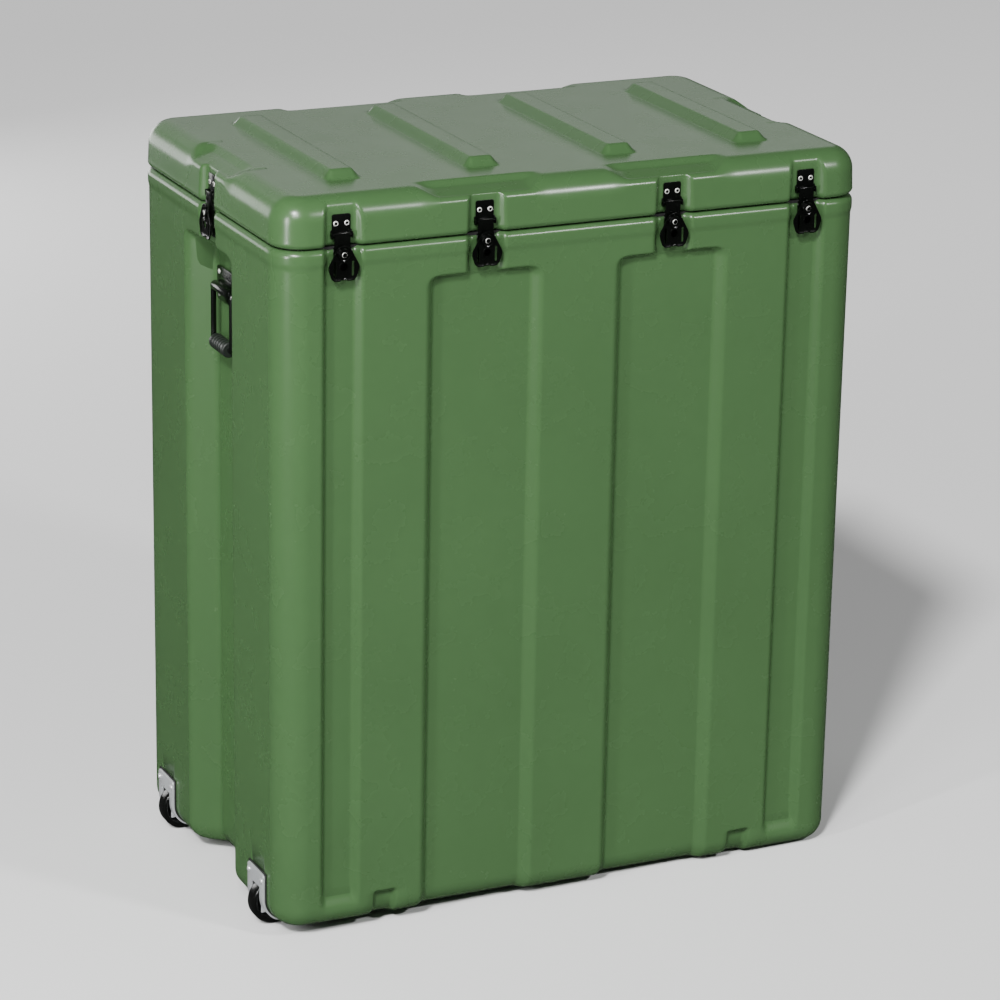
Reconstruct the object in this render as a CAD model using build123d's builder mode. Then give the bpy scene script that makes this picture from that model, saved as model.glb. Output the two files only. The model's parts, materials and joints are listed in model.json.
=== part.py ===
from build123d import *
import os

os.makedirs("parts", exist_ok=True)

# A tall hard equipment case: a moulded body, a lift-off lid held by ten wing latches,
# a drop handle on each end and two edge wheels on the left end.
# X runs along the case, Y from front to back, Z up; the origin is the middle of the flat base.

# Body and lid, in millimetres
case_length = 980.0
case_depth = 610.0
parting_height = 1094.0
lid_height = 76.0
wall = 6.0
corner_radius = 51.0
base_radius = 34.0  # rounding of the bottom edges
shoulder_radius = 37.0  # rounding of the lid's top edges
body_draft = 3.4  # the body narrows by this much on each side at its foot
lid_draft = 3.2
rim_round = 10.0  # each rim curls in by this much at the parting line
rim_thickness = 22.0
rim_height = 24.0
seam_gap = 2.0

# Moulded channels and pockets
panel_channel_x = 157.0
panel_channel_width = 196.0
panel_channel_floor = 146.0
panel_channel_depth = 13.0
end_channel_width = 210.0
end_channel_floor = 116.0
end_channel_depth = 40.0
ledge_drop = 57.0  # the channels end this far below the parting line
pocket_width = 69.0
pocket_floor = 45.0
pocket_depth = 11.0
outer_pocket_foot = 30.0
notch_x = 312.0
notch_width = 35.0
notch_top = 49.0
notch_depth = 11.0
channel_round = 5.0
groove_width = 6.0  # across the underside, behind the wheels
groove_depth = 2.0
groove_gap = 8.0  # from the wheel brackets

# Lid ribs and the stepped recesses above the latches
rib_x = (-345.0, -116.0, 116.0, 345.0)
rib_width = 58.0
rib_top_width = 34.0
rib_length = 404.0
rib_top_length = 374.0
rib_height = 14.0
step_width = 204.0
step_floor_width = 153.0
step_depth = 15.0
step_reach = 49.0
end_step_width = 188.0
end_step_floor_width = 134.0
end_step_reach = 41.0

# Gasket in the body's rim
gasket_width = 5.0
gasket_height = 5.0
gasket_groove = 3.6
gasket_inset = 16.5

# Latches: heights are above the latch line, and "out" is measured from the pocket's floor
latch_rise = 9.3  # from the parting line up to the latch line
outer_latch_x = 389.0
sheet = 1.6
hinge_height = -50.0
hinge_out = 2.9
knuckle_radius = 2.6
pin_radius = 1.5
running_clearance = 0.05
side_clearance = 0.4
arm_width = 24.0
arm_out = 3.2
arm_top = -9.0
tongue_width = 13.0
rail = 1.2
pivot_height = -18.6
pivot_radius = 2.5
crank_radius = 6.5
crank_throw = 3.0
crank_play = 0.8
strap_width = 25.4
strap_foot = -33.6
bar_height = 9.3
bar_radius = 2.0
bar_out = 2.8
hook_clearance = 0.4
lip_out = 2.0
keeper_width = 29.4
keeper_top = 40.8
keeper_foot_width = 34.4
keeper_foot_top = 17.0
keeper_foot = 4.6
ear_width = 2.0
ear_out = 6.6
wing_out = 11.6
wing_sheet = 2.0
wing_top_radius = 13.7
wing_side_radius = 12.0
wing_side_x = 12.5
wing_side_y = -20.0
wing_foot_radius = 9.0
wing_foot_x = 12.0
wing_foot_y = -31.2
wing_hole_radius = 5.9
wing_hole_y = -18.6
wing_slot_x = 15.0
wing_slot_y = -21.5
wing_slot_length = 23.5
wing_slot_width = 4.0
boss_radius = 9.0
boss_height = 1.6
rivet_radius = 2.0
rivet_head_radius = 4.0
rivet_head_height = 1.2
rivet_clearance = 0.1
keeper_rivet_height = 26.8
keeper_rivet_x = 8.8
base_rivet_height = -39.0
base_rivet_x = 7.0
base_top = -30.0
base_foot = -57.0

# Drop handles
handle_depth = 135.0  # from the parting line down to the bail's pivot
handle_plate_width = 106.0
handle_plate_height = 54.0
handle_sheet = 3.0
handle_pivot_out = 14.0
bail_radius = 4.4
bail_width = 79.0
bail_drop = 89.0
bail_corner = 6.0
barrel_radius = 8.0
barrel_length = 66.0
grip_radius = 12.4
grip_length = 60.0
handle_rivet_x = 43.0
handle_rivet_y = 18.0

# Edge wheels on the left end
wheel_y = 204.0
wheel_radius = 37.0
wheel_width = 29.0
wheel_inset = 25.5  # from the end's face to the axle
axle_height = 19.5
axle_radius = 4.0
wheel_gap = 2.0
cheek_sheet = 2.5
well_clearance = 5.0
bracket_width = 68.0
bracket_top = 77.0
bracket_sheet = 3.0
bracket_reach = 62.0  # under the base, past the bottom rounding
slot_drop = 5.5  # the slot in the bracket ends this far below the wheel's top
pad_sheet = 2.0
pad_margin = 2.0
block_margin = 4.0
bolt_radius = 3.0
bolt_head_radius = 4.6
bolt_head_height = 3.4
bolt_length = 16.0
bolt_side = 27.0
bolt_height = 65.0

# Worked out from the values above
half_length = case_length / 2
half_depth = case_depth / 2
body_top = parting_height - seam_gap / 2
lid_bottom = parting_height + seam_gap / 2
lid_top = parting_height + lid_height
ledge_height = parting_height - ledge_drop
latch_line = parting_height + latch_rise
handle_height = parting_height - handle_depth
slot_top = axle_height + wheel_radius - slot_drop
draw = 2 * crank_throw
overrun = 15.0  # cutting tools run past the surface by this much
well_half_width = wheel_width / 2 + wheel_gap + cheek_sheet + 1.5


def face_location(side, along, height=0.0):
    """A place on one face, with local Y pointing into the case."""
    return {
        "front": Location((along, -half_depth, height), (0, 0, 0)),
        "back": Location((-along, half_depth, height), (0, 0, 180)),
        "left": Location((-half_length, along, height), (0, 0, -90)),
        "right": Location((half_length, -along, height), (0, 0, 90)),
    }[side]


def face_plane(side, along, depth, height):
    """A plane on one face, seen from outside: local X to the right, Y up and Z outwards."""
    outward = {"front": (0, -1, 0), "back": (0, 1, 0), "left": (-1, 0, 0), "right": (1, 0, 0)}[side]
    right = {"front": (1, 0, 0), "back": (-1, 0, 0), "left": (0, -1, 0), "right": (0, 1, 0)}[side]
    origin = face_location(side, along, height) * Pos(0, depth, 0)
    return Plane(origin=origin.position, x_dir=right, z_dir=outward)


def crosswise(plane, right, up, out):
    """The plane at right angles to the latch's width, for round bars that lie across it."""
    origin = plane.from_local_coords(Vector(right, up, out))
    return Plane(origin=origin, x_dir=plane.y_dir, z_dir=plane.x_dir)


def trapezoid(outer_width, floor_width, depth, growth=0.0):
    """A channel's cross-section, from outside the face in to its floor."""
    outer, floor, deep = outer_width / 2 + growth, floor_width / 2 + growth, depth + growth
    return [(-outer, -overrun), (outer, -overrun), (outer, 0), (floor, deep), (-floor, deep), (-outer, 0)]


def save(part, name):
    part.label = name
    export_step(part, f"parts/{name}.step")


sides = ("front", "back")
ends = ("left", "right")
panel_channels = [face_location(side, x) for side in sides for x in (-panel_channel_x, panel_channel_x)]
end_channels = [face_location(side, 0) for side in ends]
inner_pockets = panel_channels + end_channels
outer_pockets = [face_location(side, x) for side in sides for x in (-outer_latch_x, outer_latch_x)]
latch_x = (-outer_latch_x, -panel_channel_x, panel_channel_x, outer_latch_x)
latches = {f"{side}_{n + 1}": face_plane(side, x, pocket_depth, latch_line)
           for side in sides for n, x in enumerate(latch_x)}
latches.update({side: face_plane(side, 0, pocket_depth, latch_line) for side in ends})
wheel_sides = {"front": -wheel_y, "back": wheel_y}


def cut_channels(growth, mode):
    """Cuts, or with growth leaves in, every channel, pocket and notch of the body."""
    with BuildSketch(Plane.XY) as panels:
        with Locations(*panel_channels):
            Polygon(*trapezoid(panel_channel_width, panel_channel_floor, panel_channel_depth, growth), align=None)
        fillet(panels.vertices(), channel_round)
    extrude(panels.sketch, amount=ledge_height + growth, mode=mode)
    with BuildSketch(Plane.XY) as ends_cut:
        with Locations(*end_channels):
            Polygon(*trapezoid(end_channel_width, end_channel_floor, end_channel_depth, growth), align=None)
        fillet(ends_cut.vertices(), channel_round)
    extrude(ends_cut.sketch, amount=ledge_height + growth, mode=mode)
    with BuildSketch(Plane.XY.offset(ledge_height - 1)) as pockets:
        with Locations(*inner_pockets):
            Polygon(*trapezoid(pocket_width, pocket_floor, pocket_depth, growth), align=None)
        fillet(pockets.vertices(), channel_round)
    extrude(pockets.sketch, amount=parting_height - ledge_height + overrun, mode=mode)
    with BuildSketch(Plane.XY.offset(outer_pocket_foot - growth)) as outer_cut:
        with Locations(*outer_pockets):
            Polygon(*trapezoid(pocket_width, pocket_floor, pocket_depth, growth), align=None)
        fillet(outer_cut.vertices(), channel_round)
    extrude(outer_cut.sketch, amount=parting_height - outer_pocket_foot + growth + overrun, mode=mode)
    with BuildSketch(Plane.XY.offset(-growth)) as notches:
        with Locations(*[face_location(side, x) for side in sides for x in (-notch_x, notch_x)]):
            Rectangle(notch_width + 2 * growth, 2 * (notch_depth + growth))
    extrude(notches.sketch, amount=notch_top + 2 * growth, mode=mode)


# The body's hollow
with BuildPart() as body_hollow:
    with BuildSketch(Plane.XY.offset(wall)):
        RectangleRounded(case_length - 2 * (body_draft + wall), case_depth - 2 * (body_draft + wall),
                         corner_radius - wall)
    with BuildSketch(Plane.XY.offset(body_top - rim_height)):
        RectangleRounded(case_length - 2 * wall, case_depth - 2 * wall, corner_radius - wall)
    loft()
    fillet(body_hollow.edges().group_by(Axis.Z)[0], base_radius - wall)
    cut_channels(wall, Mode.SUBTRACT)
    with BuildSketch(Plane.XY.offset(body_top - rim_height - 1)):
        RectangleRounded(case_length - 2 * rim_thickness, case_depth - 2 * rim_thickness,
                         corner_radius - rim_thickness)
    extrude(amount=rim_height + 1 + overrun)
    block_width = bracket_width + 2 * block_margin
    for y in wheel_sides.values():
        with BuildSketch(Plane.XY):
            with Locations((-half_length, y)):
                Rectangle(2 * (body_draft + base_radius + bracket_reach + block_margin), block_width)
        extrude(amount=bracket_top + block_margin, mode=Mode.SUBTRACT)

# Body shell
axle_x = -half_length + wheel_inset
bolt_places = [(y + side * bolt_side) for y in wheel_sides.values() for side in (-1, 1)]
bracket_end_x = -half_length + body_draft + base_radius + bracket_reach
base_bolt_x = bracket_end_x - bolt_head_radius - 4
with BuildPart() as body_shell:
    with BuildSketch(Plane.XY):
        RectangleRounded(case_length - 2 * body_draft, case_depth - 2 * body_draft, corner_radius)
    with BuildSketch(Plane.XY.offset(body_top)):
        RectangleRounded(case_length, case_depth, corner_radius)
    loft()
    fillet(body_shell.edges().group_by(Axis.Z)[0], base_radius)
    fillet(body_shell.edges().group_by(Axis.Z)[-1], rim_round)
    cut_channels(0, Mode.SUBTRACT)
    add(body_hollow.part, mode=Mode.SUBTRACT)
    # gasket groove
    with BuildSketch(Plane.XY.offset(body_top - gasket_groove)):
        ring = 2 * (gasket_inset - gasket_width / 2) - 0.4
        RectangleRounded(case_length - ring, case_depth - ring, corner_radius - ring / 2)
        ring = 2 * (gasket_inset + gasket_width / 2) + 0.4
        RectangleRounded(case_length - ring, case_depth - ring, corner_radius - ring / 2, mode=Mode.SUBTRACT)
    extrude(amount=gasket_groove + 1, mode=Mode.SUBTRACT)
    # wheel wells
    for y in wheel_sides.values():
        with BuildSketch(Plane.XZ.offset(-y - well_half_width)):
            with Locations((axle_x, axle_height)):
                Circle(wheel_radius + well_clearance)
            with Locations((axle_x - wheel_radius, axle_height - wheel_radius)):
                Rectangle(4 * wheel_radius + 2 * well_clearance, 2 * wheel_radius)
            with Locations((axle_x - wheel_radius, axle_height)):
                Rectangle(2 * wheel_radius, 2 * (wheel_radius + well_clearance))
        extrude(amount=2 * well_half_width, mode=Mode.SUBTRACT)
    # holes for the wheel brackets' bolts
    with BuildSketch(Plane.YZ.offset(-half_length)):
        with Locations(*[(y, bolt_height) for y in bolt_places]):
            Circle(bolt_radius + rivet_clearance)
    extrude(amount=bolt_length + body_draft + 1, mode=Mode.SUBTRACT)
    with BuildSketch(Plane.XY):
        with Locations(*[(base_bolt_x, y) for y in bolt_places]):
            Circle(bolt_radius + rivet_clearance)
    extrude(amount=bolt_length, mode=Mode.SUBTRACT)
    # groove across the underside, between the wheel end and the flat that the case stands on
    with BuildSketch(Plane.XY):
        with Locations((bracket_end_x + groove_gap + groove_width / 2, 0)):
            Rectangle(groove_width, case_depth)
    extrude(amount=groove_depth, mode=Mode.SUBTRACT)
    # holes for the latch bases' and the handle plates' rivets
    for plane in latches.values():
        with BuildSketch(plane.offset(overrun)):
            with Locations((-base_rivet_x, base_rivet_height), (base_rivet_x, base_rivet_height)):
                Circle(rivet_radius + rivet_clearance)
        extrude(amount=-overrun - rim_thickness, mode=Mode.SUBTRACT)
    for side in ends:
        with BuildSketch(face_plane(side, 0, end_channel_depth, handle_height)):
            with GridLocations(2 * handle_rivet_x, 2 * handle_rivet_y, 2, 2):
                Circle(rivet_radius + rivet_clearance)
        extrude(amount=-2 * wall, mode=Mode.SUBTRACT)
save(body_shell.part, "body_shell")


def cut_lid(growth, mode):
    """Cuts, or with growth leaves in, the lid's latch pockets and stepped recesses."""
    with BuildSketch(Plane.XY.offset(lid_bottom - 1)) as pockets:
        with Locations(*(inner_pockets + outer_pockets)):
            Polygon(*trapezoid(pocket_width, pocket_floor, pocket_depth, growth), align=None)
        fillet(pockets.vertices(), channel_round)
    extrude(pockets.sketch, amount=lid_height + overrun, mode=mode)
    for places, width, floor, reach in ((panel_channels, step_width, step_floor_width, step_reach),
                                        (end_channels, end_step_width, end_step_floor_width, end_step_reach)):
        with BuildSketch(Plane.XY.offset(lid_top - step_depth - growth)) as steps:
            with Locations(*places):
                Polygon(*trapezoid(width, floor, reach, growth), align=None)
            fillet(steps.vertices(), channel_round)
        extrude(steps.sketch, amount=step_depth + growth + overrun, mode=mode)


# The lid's hollow
with BuildPart() as lid_hollow:
    with BuildSketch(Plane.XY.offset(lid_bottom + rim_height)):
        RectangleRounded(case_length - 2 * wall, case_depth - 2 * wall, corner_radius - wall)
    with BuildSketch(Plane.XY.offset(lid_top - wall)):
        RectangleRounded(case_length - 2 * (wall + lid_draft), case_depth - 2 * (wall + lid_draft),
                         corner_radius - wall)
    loft()
    fillet(lid_hollow.edges().group_by(Axis.Z)[-1], shoulder_radius - wall)
    cut_lid(wall, Mode.SUBTRACT)
    with BuildSketch(Plane.XY.offset(lid_bottom - 1)):
        RectangleRounded(case_length - 2 * rim_thickness, case_depth - 2 * rim_thickness,
                         corner_radius - rim_thickness)
    extrude(amount=rim_height + 2)

# Lid shell
with BuildPart() as lid_shell:
    with BuildSketch(Plane.XY.offset(lid_bottom)):
        RectangleRounded(case_length, case_depth, corner_radius)
    with BuildSketch(Plane.XY.offset(lid_top)):
        RectangleRounded(case_length - 2 * lid_draft, case_depth - 2 * lid_draft, corner_radius)
    loft()
    fillet(lid_shell.edges().group_by(Axis.Z)[-1], shoulder_radius)
    fillet(lid_shell.edges().group_by(Axis.Z)[0], rim_round)
    cut_lid(0, Mode.SUBTRACT)
    add(lid_hollow.part, mode=Mode.SUBTRACT)
    for x in rib_x:
        with BuildSketch(Plane.XY.offset(lid_top - 1)):
            with Locations((x, 0)):
                Rectangle(rib_width, rib_length)
        with BuildSketch(Plane.XY.offset(lid_top + rib_height)):
            with Locations((x, 0)):
                Rectangle(rib_top_width, rib_top_length)
        loft()
    for plane in latches.values():
        with BuildSketch(plane.offset(overrun)):
            with Locations((-keeper_rivet_x, keeper_rivet_height), (keeper_rivet_x, keeper_rivet_height)):
                Circle(rivet_radius + rivet_clearance)
        extrude(amount=-overrun - rim_thickness, mode=Mode.SUBTRACT)
save(lid_shell.part, "lid_shell")

# Gasket
with BuildPart() as lid_gasket:
    with BuildSketch(Plane.XY.offset(body_top - gasket_groove)):
        ring = 2 * (gasket_inset - gasket_width / 2)
        RectangleRounded(case_length - ring, case_depth - ring, corner_radius - ring / 2)
        ring = 2 * (gasket_inset + gasket_width / 2)
        RectangleRounded(case_length - ring, case_depth - ring, corner_radius - ring / 2, mode=Mode.SUBTRACT)
    extrude(amount=gasket_height)
save(lid_gasket.part, "lid_gasket")


def rivet_row(plane, places, grip):
    """Pop rivets through a sheet at the pocket's floor: domed head, shank and set tail."""
    with BuildSketch(plane.offset(sheet)) as heads:
        with Locations(*places):
            Circle(rivet_head_radius)
    extrude(heads.sketch, amount=rivet_head_height, taper=35)
    with BuildSketch(plane.offset(sheet)) as shanks:
        with Locations(*places):
            Circle(rivet_radius)
    extrude(shanks.sketch, amount=-sheet - grip)
    with BuildSketch(plane.offset(-grip)) as tails:
        with Locations(*places):
            Circle(rivet_head_radius - 0.5)
    extrude(tails.sketch, amount=-rivet_head_height)


def groups():
    """The latches of each side, which share a node for their fixed plates."""
    return {side: [plane for name, plane in latches.items() if name.startswith(side)]
            for side in ("front", "back", "left", "right")}


keeper_places = [(-keeper_rivet_x, keeper_rivet_height), (keeper_rivet_x, keeper_rivet_height)]
base_places = [(-base_rivet_x, base_rivet_height), (base_rivet_x, base_rivet_height)]

# Keepers on the lid: a riveted plate with two ears that hold the bar the hook pulls on
for side, planes in groups().items():
    with BuildPart() as keepers:
        for plane in planes:
            with BuildSketch(plane):
                with Locations((0, (keeper_top + keeper_foot) / 2)):
                    RectangleRounded(keeper_width, keeper_top - keeper_foot, 3)
                with Locations((0, (keeper_foot_top + keeper_foot) / 2)):
                    RectangleRounded(keeper_foot_width, keeper_foot_top - keeper_foot, 2)
                with Locations(*keeper_places):
                    Circle(rivet_radius + rivet_clearance, mode=Mode.SUBTRACT)
            extrude(amount=sheet)
            ear_x = (keeper_foot_width - ear_width) / 2
            with BuildSketch(plane):
                with Locations((-ear_x, bar_height), (ear_x, bar_height)):
                    Rectangle(ear_width, 2 * (bar_height - keeper_foot))
            extrude(amount=ear_out)
            with BuildSketch(crosswise(plane, -ear_x, bar_height, bar_out)):
                Circle(bar_radius)
            extrude(amount=2 * ear_x)
    save(keepers.part, f"latch_keepers_{side}" if len(planes) > 1 else f"latch_keeper_{side}")

# Latch bases on the body: a riveted plate with two knuckles at its foot
knuckle_end = arm_width / 2
for side, planes in groups().items():
    with BuildPart() as bases:
        for plane in planes:
            with BuildSketch(plane):
                with Locations((0, (base_top + base_foot) / 2)):
                    RectangleRounded(arm_width, base_top - base_foot, 2)
                with Locations(*base_places):
                    Circle(rivet_radius + rivet_clearance, mode=Mode.SUBTRACT)
                with Locations((0, hinge_height)):
                    Rectangle(tongue_width + 2 * side_clearance, 2 * (knuckle_radius + 1), mode=Mode.SUBTRACT)
            extrude(amount=sheet)
            knuckle_start = tongue_width / 2 + side_clearance
            for right in (-knuckle_end, knuckle_start):
                with BuildSketch(crosswise(plane, right, hinge_height, hinge_out)):
                    Circle(knuckle_radius)
                extrude(amount=knuckle_end - knuckle_start)
            with BuildSketch(crosswise(plane, -knuckle_end, hinge_height, hinge_out)):
                Circle(pin_radius)
            extrude(amount=2 * knuckle_end, mode=Mode.SUBTRACT)
    save(bases.part, f"latch_bases_{side}" if len(planes) > 1 else f"latch_base_{side}")

with BuildPart() as latch_hinge_pins:
    for plane in latches.values():
        with BuildSketch(crosswise(plane, -knuckle_end, hinge_height, hinge_out)):
            Circle(pin_radius)
        extrude(amount=2 * knuckle_end)
save(latch_hinge_pins.part, "latch_hinge_pins")

with BuildPart() as keeper_rivets:
    for plane in latches.values():
        rivet_row(plane, keeper_places, wall)
save(keeper_rivets.part, "keeper_rivets")

with BuildPart() as latch_base_rivets:
    for plane in latches.values():
        rivet_row(plane, base_places, wall)
save(latch_base_rivets.part, "latch_base_rivets")

strap_out = arm_out + sheet + side_clearance
crank_gap = 0.1
for name, plane in latches.items():
    # Swing arm, with the rivet that the wing turns on
    with BuildPart() as arm:
        plate_foot = hinge_height + knuckle_radius + 1
        with BuildSketch(plane.offset(arm_out)):
            with Locations((0, (arm_top + plate_foot) / 2)):
                Rectangle(arm_width, arm_top - plate_foot)
            with Locations((0, (plate_foot + hinge_height) / 2 + 1)):
                Rectangle(tongue_width, plate_foot - hinge_height + 2)
        extrude(amount=sheet)
        with BuildSketch(crosswise(plane, -tongue_width / 2, hinge_height, hinge_out)):
            Circle(knuckle_radius)
        extrude(amount=tongue_width)
        with BuildSketch(crosswise(plane, -tongue_width / 2, hinge_height, hinge_out)):
            Circle(pin_radius + running_clearance)
        extrude(amount=tongue_width, mode=Mode.SUBTRACT)
        rail_x = arm_width / 2 + side_clearance + rail / 2
        rail_foot = strap_foot - 2
        with BuildSketch(plane.offset(arm_out)):
            with Locations((0, (arm_top + rail_foot) / 2)):
                Rectangle(2 * rail_x + rail, arm_top - rail_foot)
        extrude(amount=sheet)
        with BuildSketch(plane.offset(arm_out)):
            with Locations((-rail_x, (arm_top + rail_foot) / 2), (rail_x, (arm_top + rail_foot) / 2)):
                Rectangle(rail, arm_top - rail_foot)
        extrude(amount=2 * sheet + side_clearance)
        head_out = wing_out + wing_sheet + boss_height + crank_gap
        with BuildSketch(plane.offset(arm_out - 0.8)):
            with Locations((0, pivot_height)):
                Circle(pivot_radius)
        extrude(amount=head_out - arm_out + 0.8)
        with BuildSketch(plane.offset(arm_out - 0.8)):
            with Locations((0, pivot_height)):
                Circle(pivot_radius + 1)
        extrude(amount=0.8)
        with BuildSketch(plane.offset(head_out)):
            with Locations((0, pivot_height)):
                Circle(rivet_head_radius)
        extrude(amount=1.5 * rivet_head_height, taper=30)
    save(arm.part, f"latch_arm_{name}")

    # Hook: a strap that slides on the arm, with a window for the wing's crank and a lip over the bar
    with BuildPart() as hook:
        lip_foot = bar_height + bar_radius + hook_clearance
        lip_top = lip_foot + sheet
        with BuildSketch(plane.offset(strap_out)):
            with Locations((0, (lip_top + strap_foot) / 2)):
                Rectangle(arm_width, lip_top - strap_foot)
            with Locations((0, (lip_top + arm_top) / 2 + 1)):
                Rectangle(strap_width, lip_top - arm_top - 2)
            with Locations((0, pivot_height - crank_throw)):
                Rectangle(2 * (crank_radius + crank_throw) + 2 * side_clearance,
                          2 * (crank_radius + crank_play), mode=Mode.SUBTRACT)
        extrude(amount=sheet)
        with BuildSketch(plane.offset(lip_out)):
            with Locations((0, (lip_foot + lip_top) / 2)):
                Rectangle(strap_width, sheet)
        extrude(amount=strap_out - lip_out)
    save(hook.part, f"latch_hook_{name}")

    # Wing: the handle that is turned by hand, with the crank that lifts the hook
    with BuildPart() as wing:
        with BuildSketch(plane.offset(wing_out)):
            with Locations((0, pivot_height)):
                Circle(wing_top_radius)
            for side in (-1, 1):
                with Locations((side * wing_side_x, pivot_height + wing_side_y)):
                    Circle(wing_side_radius)
                with Locations((side * wing_foot_x, pivot_height + wing_foot_y)):
                    Circle(wing_foot_radius)
            make_hull()
            with Locations((0, pivot_height + wing_hole_y)):
                Circle(wing_hole_radius, mode=Mode.SUBTRACT)
            slots = [(side * wing_slot_x, pivot_height + wing_slot_y) for side in (-1, 1)]
            with Locations(*slots):
                SlotOverall(wing_slot_length, wing_slot_width, rotation=90, mode=Mode.SUBTRACT)
        extrude(amount=wing_sheet)
        with BuildSketch(plane.offset(wing_out)):
            with Locations((0, pivot_height)):
                Circle(boss_radius)
        extrude(amount=wing_sheet + boss_height)
        with BuildSketch(plane.offset(strap_out + sheet + crank_gap)):
            with Locations((0, pivot_height)):
                Circle(boss_radius - 1)
        extrude(amount=wing_out - strap_out - sheet)
        with BuildSketch(plane.offset(strap_out - side_clearance + crank_gap)):
            with Locations((0, pivot_height - crank_throw)):
                Circle(crank_radius)
        extrude(amount=sheet + side_clearance)
        with BuildSketch(plane):
            with Locations((0, pivot_height)):
                Circle(pivot_radius + running_clearance)
        extrude(amount=2 * wing_out, mode=Mode.SUBTRACT)
    save(wing.part, f"latch_wing_{name}")

# Drop handles: plate with a barrel, a bent-rod bail and a rubber grip
for side in ends:
    plane = face_plane(side, 0, end_channel_depth, handle_height)
    with BuildPart() as plate:
        with BuildSketch(plane):
            RectangleRounded(handle_plate_width, handle_plate_height, 5)
            with GridLocations(2 * handle_rivet_x, 2 * handle_rivet_y, 2, 2):
                Circle(rivet_radius + rivet_clearance, mode=Mode.SUBTRACT)
        extrude(amount=handle_sheet)
        with BuildSketch(crosswise(plane, -barrel_length / 2, 0, handle_pivot_out)):
            Circle(barrel_radius)
            with Locations((0, -handle_pivot_out / 2)):
                Rectangle(2 * barrel_radius, handle_pivot_out)
        extrude(amount=barrel_length)
        with BuildSketch(crosswise(plane, -barrel_length / 2, 0, handle_pivot_out)):
            Circle(bail_radius + running_clearance)
        extrude(amount=barrel_length, mode=Mode.SUBTRACT)
    save(plate.part, f"handle_plate_{side}")

    with BuildPart() as bail:
        with BuildLine(plane.offset(handle_pivot_out)) as loop:
            half = bail_width / 2
            Polyline((half, 0), (half, -bail_drop), (-half, -bail_drop), (-half, 0), close=True)
            fillet(loop.vertices(), bail_corner)
        with BuildSketch(Plane(origin=loop.line @ 0, z_dir=loop.line % 0)):
            Circle(bail_radius)
        sweep()
    save(bail.part, f"handle_bail_{side}")

    with BuildPart() as grip:
        with BuildSketch(crosswise(plane, -grip_length / 2, -bail_drop, handle_pivot_out)):
            Circle(grip_radius)
            Circle(bail_radius + running_clearance, mode=Mode.SUBTRACT)
        extrude(amount=grip_length)
    save(grip.part, f"handle_grip_{side}")

with BuildPart() as handle_rivets:
    for side in ends:
        plane = face_plane(side, 0, end_channel_depth, handle_height)
        with BuildSketch(plane.offset(handle_sheet)):
            with GridLocations(2 * handle_rivet_x, 2 * handle_rivet_y, 2, 2):
                Circle(rivet_head_radius)
        extrude(amount=rivet_head_height, taper=35)
        with BuildSketch(plane.offset(handle_sheet)):
            with GridLocations(2 * handle_rivet_x, 2 * handle_rivet_y, 2, 2):
                Circle(rivet_radius)
        extrude(amount=-handle_sheet - wall)
        with BuildSketch(plane.offset(-wall)):
            with GridLocations(2 * handle_rivet_x, 2 * handle_rivet_y, 2, 2):
                Circle(rivet_head_radius - 0.5)
        extrude(amount=-rivet_head_height)
save(handle_rivets.part, "handle_rivets")

# Edge wheels. Each bracket wraps round the bottom rounding on a rubber pad.
side_x = -half_length + body_draft * (1 - bracket_top / parting_height)


def wrap_profile(gap, thickness, top, reach):
    """A strip that follows the end face, the bottom rounding and the base, seen from the front."""
    radius = base_radius + gap
    with BuildLine() as strip:
        inner_x, inner_z, centre_x = side_x - gap, -gap, side_x + base_radius
        end_x = centre_x + reach
        Line((inner_x, top), (inner_x, base_radius))
        RadiusArc((inner_x, base_radius), (centre_x, inner_z), -radius)
        Line((centre_x, inner_z), (end_x, inner_z))
        Line((end_x, inner_z), (end_x, inner_z - thickness))
        Line((end_x, inner_z - thickness), (centre_x, inner_z - thickness))
        RadiusArc((centre_x, inner_z - thickness), (inner_x - thickness, base_radius), radius + thickness)
        Line((inner_x - thickness, base_radius), (inner_x - thickness, top))
        Line((inner_x - thickness, top), (inner_x, top))
    make_face(strip.line)


def cut_wheel_slot(y, margin):
    """The slot that the wheel stands in, up the end and along the base."""
    width = wheel_width + 2 * wheel_gap + 2 * margin
    slot_end = axle_x + wheel_radius + well_clearance + margin
    with BuildSketch(Plane.XY.offset(-overrun)) as slot:
        with Locations(((slot_end - 2 * half_length) / 2, y)):
            Rectangle(slot_end + 2 * half_length, width)
    extrude(slot.sketch, amount=overrun + slot_top + margin, mode=Mode.SUBTRACT)


def cut_bolt_holes(y):
    """The holes for one bracket's four bolts."""
    with BuildSketch(Plane.YZ.offset(-half_length - overrun)) as end_holes:
        with Locations((y - bolt_side, bolt_height), (y + bolt_side, bolt_height)):
            Circle(bolt_radius + rivet_clearance)
    extrude(end_holes.sketch, amount=2 * overrun, mode=Mode.SUBTRACT)
    with BuildSketch(Plane.XY.offset(-overrun)) as base_holes:
        with Locations((base_bolt_x, y - bolt_side), (base_bolt_x, y + bolt_side)):
            Circle(bolt_radius + rivet_clearance)
    extrude(base_holes.sketch, amount=2 * overrun, mode=Mode.SUBTRACT)


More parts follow.
